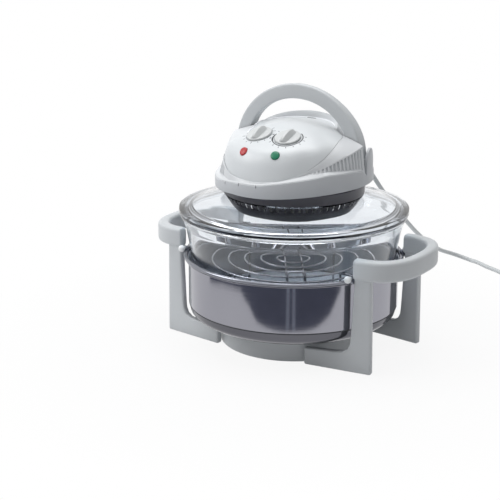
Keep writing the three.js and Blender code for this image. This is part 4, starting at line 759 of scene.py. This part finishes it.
level_share = table(
    front_angles, [0.2, 0.235, 0.375, 0.53, 0.69, 0.785, 0.82, 0.826, 0.895, 0.91, 0.925, 0.945, 0.948]
)
left_share = table([0, 44, 53, 60, 72, 82, 90, 97], [1, 1, 0.91, 0.86, 0.8, 0.815, 0.87, 1])
left_drop = table([0, 15, 40, 62, 80, 100, 120], [0, 0.1, 0.75, 1, 0.7, 0, 0])
left_lean = table([0, 40, 60, 76, 86, 92], [0, 0, 0.8, 1, 0.7, 0.3])
bulge = table([0, 0.27, 0.545, 0.77, 0.87, 0.94, 0.975, 1], [1, 0.935, 0.8, 0.66, 0.57, 0.39, 0.19, 0])
wall_share = table([0, 20, 33, 46, 60, 75, 90, 92], [0.26, 0.33, 0.435, 0.555, 0.7, 0.86, 0.985, 1])


def wrap(angle):
    return (angle + 540) % 360 - 180


def seam_level(angle):
    a = wrap(angle)
    if a > 4:
        a = a - 360 if a > 170 else 4
    return LEVEL + seam_share(a) * SEAM


def from_front(angle):
    return abs(wrap(angle + 90))


def on_left(angle):
    return math.cos(math.radians(angle)) < 0


def dome_edge(angle):
    front = from_front(angle)
    narrow = left_share(front) if on_left(angle) else 1
    return HEAD * narrow * edge_share(front), LEVEL + HEAD_RISE * level_share(front)


def dome_share(angle, share):
    fade = min(max((80 - from_front(angle)) / 50, 0), 1)
    fade = fade * fade * (3 - 2 * fade)
    plain = 1 - share * share
    return plain + fade * (bulge(share) - plain)


def dome_height(x, y):
    angle = math.degrees(math.atan2(y, x))
    edge, level = dome_edge(angle)
    return level + (HEAD_TOP - level) * dome_share(angle, min(math.hypot(x, y) / edge, 1))


# Skirt with its ears
SKIRT_HANG, SKIRT_CURVE, SKIRT_FADE, LEFT_DROP = 10.6, 9.4, 40, 8


def skirt_profile(angle):
    seam = seam_level(angle)
    forward = HEAD * (1 + math.sin(math.radians(angle)))
    low = FLOOR - SKIRT_HANG + SKIRT_CURVE * (1 - math.exp(-forward / SKIRT_FADE))
    if on_left(angle):
        low -= LEFT_DROP * left_drop(from_front(angle))
    lip = max(seam - 3, (seam + FLOOR_TOP) / 2)
    a = wrap(angle)
    in_ear = 3.8 <= a <= 18.4 or 161.6 <= a <= 176.2
    corners = [(HEAD, low), (HEAD, seam), (SKIRT_LIP, seam), (SKIRT_LIP, lip), (SKIRT_IN, lip)]
    corners += [(SKIRT_IN, FLOOR_TOP), (FLOOR_BORE, FLOOR_TOP), (FLOOR_BORE, FLOOR)]
    corners += [(SKIRT_IN, FLOOR), (SKIRT_IN, low)]
    radii = [1.0, 0 if in_ear else 1.1, 0.3, 0, 0, 0, 0, 0, 0, 0.5]
    return fillet(corners, radii, 3)


skirt_angles = sorted({*np.arange(-180, 180, 1.5).tolist(), 3.8, 18.31, 161.69, 176.2, 4.4, 1, 175, 177})
skirt_loops = [[at(r, a, z) for r, z in skirt_profile(a)] for a in skirt_angles]
skirt = loft("head_skirt", skirt_loops, ring=True)
notches = []
for a in (-116, -101, -86):
    z = seam_level(a)
    notch = box("notch", (110, -0.7, z - 3.6), (116, 0.7, z + 3))
    notch.data.transform(spin(a))
    notches.append(notch)
carve(skirt, [merge("notches", notches)])
hole = tube("hole", [(0, 104, GLAND_LEVEL), (0, 118, GLAND_LEVEL)], 4.3, 24)
carve(skirt, [hole])
ears = []
for side in (-1, 1):
    loops = []
    for k in range(29):
        y = EAR_Y + EAR_HALF * math.sin(math.pi * (k / 28 - 0.5))
        a = math.degrees(math.asin(y / HEAD))
        top = PIVOT_Z + EAR_RISE * math.sqrt(max(1 - ((y - EAR_Y) / EAR_HALF) ** 2, 0))
        section = [(EAR_IN, DECK - 1.5), (HEAD, DECK - 1.5), (HEAD, top), (EAR_IN, top)]
        section = fillet(section, [0, 0, 1.2, 0.6], 4)
        loops.append([at(r, a if side > 0 else 180 - a, z) for r, z in section])
    ears.append(loft("ear", loops))
skirt = merge("head_skirt", [skirt, *ears])
smooth(skirt, 34)
dress(skirt, "lid_head", skirt_mat, "skirt", "lower_housing")

# Control panel
PANEL_WALL, PANEL_INNER = 3, 0.973
shares = [0, 0.03, 0.08, *np.linspace(0.14, 0.86, 25).tolist(), 0.89, 0.915, 0.935, 0.95]
shares += [0.962, 0.973, 0.982, 0.989, 0.994, 0.998, 1]
loops = []
for a in range(-180, 180, 2):
    edge, level = dome_edge(a)
    heights = [(s, level + (HEAD_TOP - level) * dome_share(a, s)) for s in shares]
    outside = [at(s * edge, a, z) for s, z in heights]
    inside = [at(s * edge * PANEL_INNER, a, z - PANEL_WALL) for s, z in heights[::-3]]
    inside[-1] = (0, 0, HEAD_TOP - PANEL_WALL)
    outside[0] = (0, 0, HEAD_TOP)
    loops.append([*outside, *inside])
panel = loft("panel_dome", loops, ring=True, closed=False, angle=40)


def panel_frame(x, y, step=5.6):
    slope_x = (dome_height(x + step, y) - dome_height(x - step, y)) / (2 * step)
    slope_y = (dome_height(x, y + step) - dome_height(x, y - step)) / (2 * step)
    outward = Vector((-slope_x, -slope_y, 1)).normalized()
    turn = UP.rotation_difference(outward).to_matrix().to_4x4()
    return shift(x, y, dome_height(x, y)) @ turn


KNOB_PLACE, KNOB_AXIS = (0.023, -0.056, 0.309003), (0.06313, -0.34665, 0.93587)
LENS_X, LENS_Y = 25.5, -92
knob_frames = {}
for name, mirror in (("timer", Vector((-1, 1, 1))), ("heat", Vector((1, 1, 1)))):
    turn = UP.rotation_difference((Vector(KNOB_AXIS) * mirror).normalized())
    knob_frames[name] = Matrix.Translation(Vector(KNOB_PLACE) * mirror) @ turn.to_matrix().to_4x4()
lens_frames = [panel_frame(-LENS_X, LENS_Y), panel_frame(LENS_X, LENS_Y)]
cutters = []
for place in knob_frames.values():
    seat = lathe("seat", [(0, -1.4), (19.3, -1.4), (19.3, 6), (0, 6)], 96, closed=False)
    bore = lathe("bore", [(0, -12), (3.1, -12), (3.1, 5), (0, 5)], 32, closed=False)
    for piece in (seat, bore):
        piece.data.transform(place)
        cutters.append(piece)
for place in lens_frames:
    bore = lathe("bore", [(0, -9), (6.5, -9), (6.5, 6), (0, 6)], 48, closed=False)
    bore.data.transform(place)
    cutters.append(bore)
carve(panel, cutters, angle=40)
dress(panel, "lid_head", panel_mat, "panel", "control_panel")

# Knobs: a disc with a finger bar that narrows upwards
BAR_HALF, BAR_FOOT, BAR_CREST, BAR_LOW, BAR_RISE = 15.8, 7.0, 1.9, 2.2, 7.4
disc_profile = [(0, -1.1), (18.25, -1.1), (18.25, 1.5), (17.5, 2.6), (15.8, 2.3), (0, 2.6)]
for name, place in knob_frames.items():
    disc = lathe("disc", fillet(disc_profile, [0, 0.5, 0.8, 0.8, 0.8, 0], 4), 96, closed=False)
    loops = []
    for i in range(33):
        y = -BAR_HALF + 2 * BAR_HALF * i / 32
        edge = math.sqrt(max(1 - (y / 15.9) ** 4, 0.02))
        top = BAR_LOW + BAR_RISE * math.sqrt(max(1 - (y / 16.2) ** 2, 0.01)) ** 0.85
        foot, crest = BAR_FOOT * edge**0.4, BAR_CREST * edge**0.5
        section = fillet([(-foot, 2.1), (foot, 2.1), (crest, top), (-crest, top)], [0, 0, 1.5, 1.5], 5)
        loops.append([(x, y, z) for x, z in section])
    bar = loft("bar", loops, angle=40)
    knob = merge(name + "_dial", [disc, bar])
    smooth(knob, 40)
    knob.data.transform(place)
    dress(knob, name + "_knob", knob_mat, "knob_plastic", name + "_knob")
lens_profile = [(0, -6), (6.2, -6), (6.2, 0.1), (6.0, 0.6), (5.0, 1.1), (3.2, 1.5), (1.4, 1.65), (0, 1.7)]
lenses = (red_mat, "red_lens", "power_indicator"), (green_mat, "green_lens", "heat_indicator")
for place, (mat, slot, node) in zip(lens_frames, lenses):
    light = lathe(node + "_lens", lens_profile, 48, closed=False, angle=60)
    light.data.transform(place)
    dress(light, "lid_head", mat, slot, node)

# Upper housing: shoulders with ribbed sides
RIB_PITCH, RIB_DEPTH, RIB_FROM, RIB_TO, RIB_SIDE, RIB_GAP = 3.2, 2.4, 36, 90.5, 0.12, 0.58
SHOULDER_OUT, WALL_LEAN, LEFT_LEAN, CHAMFER_RISE, CHAMFER_WIDTH, WALL_RISE = 112, 4.5, 7, 4.5, 5.5, 60.5
chamfer_rise = table([0, 15, 40, 60, 78, 92], [0.32, 0.32, 0.87, 0.6, 0.3, 0.1])
chamfer_width = table([0, 15, 40, 60, 78, 92], [0.32, 0.32, 1, 1, 0.4, 0])


def groove(angle):
    """Depth of the side ribs' 17 grooves, between the shoulder's front and the handle's slot."""
    front = from_front(angle)
    if not RIB_FROM <= front <= RIB_TO:
        return 0.0
    phase = ((front - RIB_FROM) / RIB_PITCH) % 1
    rise = min(phase / RIB_SIDE, (RIB_GAP - phase) / RIB_SIDE)
    return RIB_DEPTH * min(max(rise, 0), 1) * min((front - RIB_FROM + 2) / 5, 1)


def shoulder_profile(angle):
    front = min(from_front(angle), 92)
    edge, level = dome_edge(angle)
    rim = edge + 0.3
    seam = seam_level(angle) + 0.3
    ledge = seam + CHAMFER_RISE * chamfer_rise(front)
    share = wall_share(front)
    top = max(LEVEL + WALL_RISE * share, ledge + 0.3)
    foot = max(SHOULDER_OUT - CHAMFER_WIDTH * chamfer_width(front), rim + 2.4)
    lean = WALL_LEAN * share + (LEFT_LEAN * left_lean(front) if on_left(angle) else 0)
    crest = max(foot - lean, rim + 1.2)
    deep = groove(angle) * min((top - ledge) / 8, 1)
    wall = []
    for s in (0, 0.035, 0.05, 0.5, 0.9, 0.93, 0.97, 1):
        set_back = deep if 0.04 < s < 0.92 else 0
        wall.append((foot + (crest - foot) * s - set_back, ledge + (top - ledge) * s))
    out = [(SHOULDER_OUT, seam), (SHOULDER_OUT - 0.4, seam + 0.5), *wall]
    for s in (0.1, 0.3, 0.5, 0.7, 0.9):
        out.append((crest + s * (rim - crest), top + s * (level - top) + 4.8 * s * (1 - s)))
    out += [(rim + 0.3, level), (rim, level - 0.4)]
    low = level - 3.75
    slope = (top - seam) / max(level - seam, 1)
    inner = [(rim, low), (max(crest - 3.8, rim + 0.1), seam + slope * (low - seam)), (105.5, seam)]
    return out + inner


def clipped(radius, angle, height):
    """Keeps a point ahead of the handle's slot."""
    x, y, z = at(radius, angle, height)
    if y > SLOT_FRONT:
        x = math.copysign(math.sqrt(radius**2 - SLOT_FRONT**2), x)
        y = SLOT_FRONT
    return (x, y, z)


def both_sides(values):
    return sorted({*values, *[-180 - v for v in values]})


shoulder_angles = both_sides([*np.arange(-90, -58, 2).tolist(), *np.arange(-58, 3.1, 0.31).tolist()])
loops = [[clipped(r, a, z) for r, z in shoulder_profile(a)] for a in shoulder_angles]
shoulder = loft("shoulder_shell", loops, angle=34)
dress(shoulder, "lid_head", shoulder_lit_mat, "housing", "upper_housing")

# Rear cover, a body of revolution about the handle's axis, and the deck round it
COVER_X, COVER_R, COVER_WALL, SLOT_REAR = 80.0, 72.5, 2.5, 3.3


def cover_height(x, y):
    across = COVER_R**2 * (1 - (x / COVER_X) ** 2) - (y - PIVOT_Y) ** 2
    return PIVOT_Z + math.sqrt(max(across, 0))


def cover_foot(angle):
    c, s = math.cos(math.radians(angle)), math.sin(math.radians(angle))
    a = (c / COVER_X) ** 2 + (s / COVER_R) ** 2
    b = -2 * s * PIVOT_Y / COVER_R**2
    k = (PIVOT_Y / COVER_R) ** 2 - 1
    return (-b + math.sqrt(b * b - 4 * a * k)) / (2 * a)


loops = []
for a in np.arange(2.0, 178.01, 2.0):
    edge, level = dome_edge(a)
    rim = edge + 0.3
    foot = cover_foot(a)
    crest = min(rim + 4, foot - 1.2)
    deck = seam_level(a) + 0.3
    section = [(SHOULDER_OUT, deck), (SHOULDER_OUT - 0.3, deck + 1.3)]
    section += [(foot + 1.6, deck + 1.3), (foot, deck + 2.9)]
    for s in (1, 0.985, 0.96, 0.92, 0.86, 0.78, 0.7, 0.6, 0.5, 0.4, 0.3, 0.2, 0.1, 0.0):
        r = crest + s * (foot - crest)
        section.append((r, cover_height(*ray(a, r))))
    r, z = section[-1]
    section += [(rim + 0.5 * (r - rim), level + 0.6 * (z - level)), (rim, level), (rim, level - 3.7)]
    section += [(max(rim + 0.2, crest - 3), min(level - 4, PIVOT_Z + 20))]
    section += [(foot - COVER_WALL, PIVOT_Z), (foot - COVER_WALL, deck)]
    loops.append([at(r, a, z) for r, z in section])
loops = [[(x, max(y, SLOT_REAR), z) for x, y, z in loop] for loop in loops]
cover = loft("rear_cover", loops, angle=34)
dress(cover, "lid_head", shoulder_lit_mat, "housing", "upper_housing")

# Trim bead at the panel's rear edge, lighter than the panel as a painted highlight, and its catch, a dark
# disc of painted shade
bead = []
for a in range(18, 217, 3):
    edge, level = dome_edge(a)
    bead.append(at(edge + 0.6, a, level + 0.1))
thick = [1.3 * min(1, (i + 1) / 8, (len(bead) - i) / 8) for i in range(len(bead))]
trim = tube("panel_trim_highlight", bead, thick, 12)
smooth(trim, 60)
dress(trim, "lid_head", trim_highlight_mat, "panel")
# The catch is a thin dark disc lying on the panel: painted shade standing for its slot
CATCH_R, CATCH_THICK, CATCH_SQUASH, CATCH_Y, CATCH_TILT = 7, 0.5, 0.4, 46.5, -14
catch_profile = [(0, 0), (CATCH_R, 0), (CATCH_R, CATCH_THICK), (0, CATCH_THICK)]
catch = lathe("panel_catch_shade", catch_profile, 32, closed=False)
catch.data.transform(Matrix.Scale(CATCH_SQUASH, 4, (0, 1, 0)))
place = shift(0, CATCH_Y, dome_height(0, CATCH_Y) - 0.1)
catch.data.transform(place @ spin(CATCH_TILT, "X"))
dress(catch, "lid_head", shadow_mat, "dark_plastic")

# Carrying handle
ARCH_OUT, ARCH_IN, ARCH_HALF, ARCH_BASE = (103, 96), (84, 75), 10, 9.5
PIN_BORE = 4.3
depth_share = table([i / 7 for i in range(8)], [1, 0.985, 0.9, 0.76, 0.62, 0.55, 0.52, 0.52])


def arch_section(turn, drop):
    c, s = math.cos(turn), math.sin(turn)
    outer = np.array((ARCH_OUT[0] * c, ARCH_BASE - drop + ARCH_OUT[1] * s))
    inner = np.array((ARCH_IN[0] * c, ARCH_BASE - drop + ARCH_IN[1] * s))
    up = math.asin(min(max(s, 0), 1)) / (math.pi / 2)
    rear = -ARCH_HALF + 2 * ARCH_HALF * depth_share(up)
    across = outer - inner
    thick = float(np.linalg.norm(across))
    across = across / thick
    section = [(0, -ARCH_HALF), (thick, -ARCH_HALF), (thick, rear), (0, rear)]
    section = fillet(section, [2.4, 3.2, 3.0, 2.4], 5)
    return [(inner[0] + across[0] * d, PIVOT_Y + y, PIVOT_Z + inner[1] + across[1] * d) for d, y in section]


loops = [arch_section(0, ARCH_BASE)]
loops += [arch_section(math.pi * i / 96, 0) for i in range(97)]
loops.append(arch_section(math.pi, ARCH_BASE))
arch = loft("arch", loops, angle=30)
bits = [arch]
for s in (-1, 1):
    for r, x0, x1 in ((9.7, 84, 103), (8.5, 80.6, 106.1)):
        profile = [(PIN_BORE, 0), (r, 0), (r, x1 - x0), (PIN_BORE, x1 - x0)]
        boss = lathe("boss", fillet(profile, [0, 0.6, 0.6, 0], 3), 48)
        place = shift(s * x0, PIVOT_Y, PIVOT_Z)
        boss.data.transform(place @ spin(90 * s, "Y"))
        bits.append(boss)
handle = merge("handle_arch", bits)
smooth(handle, 34)
dress(handle, "handle", housing_mat, "housing", "carry_handle")

# Dial marks, printed on the panel
INK_LIFT, INK_DEPTH = 0.12, -0.25
ARC_R, ARC_WIDTH, ARC_WIDE = 21.2, 1.4, 2.3


def on_panel(place, x, y, lift=INK_LIFT):
    """A point of the panel's surface over a place on a knob's tangent plane."""
    p = place @ (Vector((x, y, 0)) * MM)
    q = Vector((p.x / MM, p.y / MM, 0))
    axis = (place.to_3x3() @ UP).normalized()
    z = dome_height(q.x, q.y)
    return (q.x + axis.x * lift, q.y + axis.y * lift, z + axis.z * lift)


def ribbon(name, place, line, width):
    """A thin printed line that follows the panel."""
    loops = []
    for i, (x, y) in enumerate(line):
        before, after = line[max(i - 1, 0)], line[min(i + 1, len(line) - 1)]
        dx, dy = after[0] - before[0], after[1] - before[1]
        size = math.hypot(dx, dy) or 1
        nx, ny = -dy / size * width / 2, dx / size * width / 2
        one, two = (x + nx, y + ny), (x - nx, y - ny)
        top = [on_panel(place, *one), on_panel(place, *two)]
        loops.append(top + [on_panel(place, *two, INK_DEPTH), on_panel(place, *one, INK_DEPTH)])
    return loft(name, loops)


arcs, marks = [], []
heat_place, timer_place = knob_frames["heat"], knob_frames["timer"]
arc = [ray(a, ARC_R) for a in range(165, 421, 4)]
arcs.append(ribbon("arc", heat_place, arc, ARC_WIDTH))
arcs.append(ribbon("arc", heat_place, arc[:14], ARC_WIDE))
for k in range(11):
    a = 150 + 24 * k
    marks.append(ribbon("tick", heat_place, [ray(a, 23.4), ray(a, 26.2)], 1.0))
for k in range(13):
    a = 120 + 25 * k
    marks.append(ribbon("tick", timer_place, [ray(a, 21), ray(a, 23.4 if k % 3 else 25)], 0.9))
for name, group, mat in (("dial_arc", arcs, ink_mat), ("dial_ticks", marks, faint_ink_mat)):
    print_piece = merge(name, group)
    smooth(print_piece)
    dress(print_piece, "lid_head", mat, "dark_plastic")

# Background and lights
SKY_LEVEL = 0.21
KEY_POWER, TOP_POWER = 26, 39
world = bpy.data.worlds.new("world")
scene.world = world
world.use_nodes = True
tree = world.node_tree
back = tree.nodes["Background"]
back.inputs["Color"].default_value = (1, 1, 1, 1)
path = add_node(tree, "LightPath")
level = add_node(tree, "MapRange", To_Min=SKY_LEVEL, To_Max=1.0)
seen = path.outputs["Is Camera Ray"]
for kind in ("Is Glossy Ray", "Is Transmission Ray"):
    either = add_node(tree, "Math", "MAXIMUM")
    tree.links.new(seen, either.inputs[0])
    tree.links.new(path.outputs[kind], either.inputs[1])
    seen = either.outputs["Value"]
tree.links.new(seen, level.inputs["Value"])
tree.links.new(level.outputs["Result"], back.inputs["Strength"])


def softbox(name, place, target, size, power):
    data = bpy.data.lights.new(name, "AREA")
    data.shape = "RECTANGLE"
    data.size, data.size_y = size
    data.energy = power
    obj = add_object(name, data)
    obj.location = place
    obj.rotation_euler = (Vector(target) - Vector(place)).to_track_quat("-Z", "Y").to_euler()


softbox("key", (-1.7, -1.3, 1.5), (0, 0, 0.2), (1.4, 1.2), KEY_POWER)
softbox("top", (-0.2, 0.1, 2.2), (0, 0, 0.2), (1.8, 1.8), TOP_POWER)

# Cards lying in front of the oven, seen only in the polished shell: a painted dark reflection with pale
# strips
PHOTO_SIZE = 500
CARD_FAR, STRIP_NEAR, STRIP_FAR = 1300, 330, 1250
EDGE_SPOTS = ((209.5, 281), (222, 284), (232, 287), (240, 290), (249.5, 307), (257, 322))
EDGE_SPOTS += ((272, 330), (295, 332), (316, 328), (330, 315), (338, 296), (341, 289))


def mirrored(u, v):
    """The floor spot, to a whole degree and millimetre, that the shell mirrors at a photo's spot."""
    middle = PHOTO_SIZE / 2
    view = Vector((u - middle, middle - v, -PHOTO_SIZE * FOCAL / SENSOR))
    view = camera.rotation_euler.to_matrix() @ view
    eye = Vector(CAMERA_PLACE) / MM
    a, b = view.xy.length_squared, eye.xy.dot(view.xy)
    spot = eye - view * (b + math.sqrt(b * b - a * (eye.xy.length_squared - SHELL_OUT**2))) / a
    outward = Vector((spot.x, spot.y, 0)).normalized()
    bounced = view - outward * (2 * view.dot(outward))
    x, y = (spot - bounced * (spot.z / bounced.z)).xy
    return ray(round(math.degrees(math.atan2(y, x))), round(math.hypot(x, y)))


def card(name, outline, level, rgb):
    mesh = bpy.data.meshes.new(name)
    mesh.from_pydata([(x * MM, y * MM, level * MM) for x, y in outline], [], [tuple(range(len(outline)))])
    obj = add_object(name, mesh)
    obj.visible_camera = False
    obj.visible_diffuse = False
    obj.visible_shadow = False
    obj.visible_transmission = False
    obj.data.materials.append(finish(name, rgb, 0.9, tint=0.1))


sector = [mirrored(u, v) for u, v in EDGE_SPOTS] + [ray(a, CARD_FAR) for a in range(-14, -147, -12)]
card("dark_reflection_card", sector, 0.6, (78, 82, 98))
for low, high in ((-64.4, -61.6), (-59.2, -56.6)):
    strip = [ray(low, STRIP_NEAR), ray(high, STRIP_NEAR), ray(high, STRIP_FAR), ray(low, STRIP_FAR)]
    card("pale_reflection_strip", strip, 1.2, (150, 156, 168))

# Floor, pale and glowing faintly away from the oven so that only the shadow shows
FLOOR_HALF, FLOOR_DROP = 30, 0.0005
FADE_FROM, FADE_TO, FADE_LOW = 0.2, 0.5, 0.9
floor_mesh = bpy.data.meshes.new("floor")
corners = [(x * FLOOR_HALF, y * FLOOR_HALF, 0) for x, y in ((-1, -1), (1, -1), (1, 1), (-1, 1))]
floor_mesh.from_pydata(corners, [], [(0, 1, 2, 3)])
floor = add_object("floor", floor_mesh)
floor.location.z = -FLOOR_DROP
floor_mat = bpy.data.materials.new("floor")
floor_mat.use_nodes = True
tree = floor_mat.node_tree
shader = tree.nodes["Principled BSDF"]
shader.inputs["Base Color"].default_value = (0.72, 0.72, 0.73, 1)
shader.inputs["Roughness"].default_value = 0.8
shader.inputs["Specular IOR Level"].default_value = 0.2
glow = add_node(tree, "Emission", Color=(1, 1, 1, 1))
coords = add_node(tree, "TexCoord")
length = add_node(tree, "VectorMath", "LENGTH")
fade = add_node(tree, "MapRange", From_Min=FADE_FROM, From_Max=FADE_TO, To_Min=FADE_LOW)
path = add_node(tree, "LightPath")
bounce = add_node(tree, "Math", "SUBTRACT")
bounce.inputs[0].default_value = 1
glow_share = add_node(tree, "Math", "MULTIPLY")
mix = add_node(tree, "MixShader")
link = tree.links.new
link(coords.outputs["Object"], length.inputs[0])
link(length.outputs["Value"], fade.inputs["Value"])
link(path.outputs["Is Diffuse Ray"], bounce.inputs[1])
link(fade.outputs["Result"], glow_share.inputs[0])
link(bounce.outputs["Value"], glow_share.inputs[1])
link(glow_share.outputs["Value"], mix.inputs["Fac"])
link(shader.outputs["BSDF"], mix.inputs[1])
link(glow.outputs["Emission"], mix.inputs[2])
link(mix.outputs["Shader"], tree.nodes["Material Output"].inputs["Surface"])
floor_mesh.materials.append(floor_mat)

scene.view_settings.view_transform = "Standard"
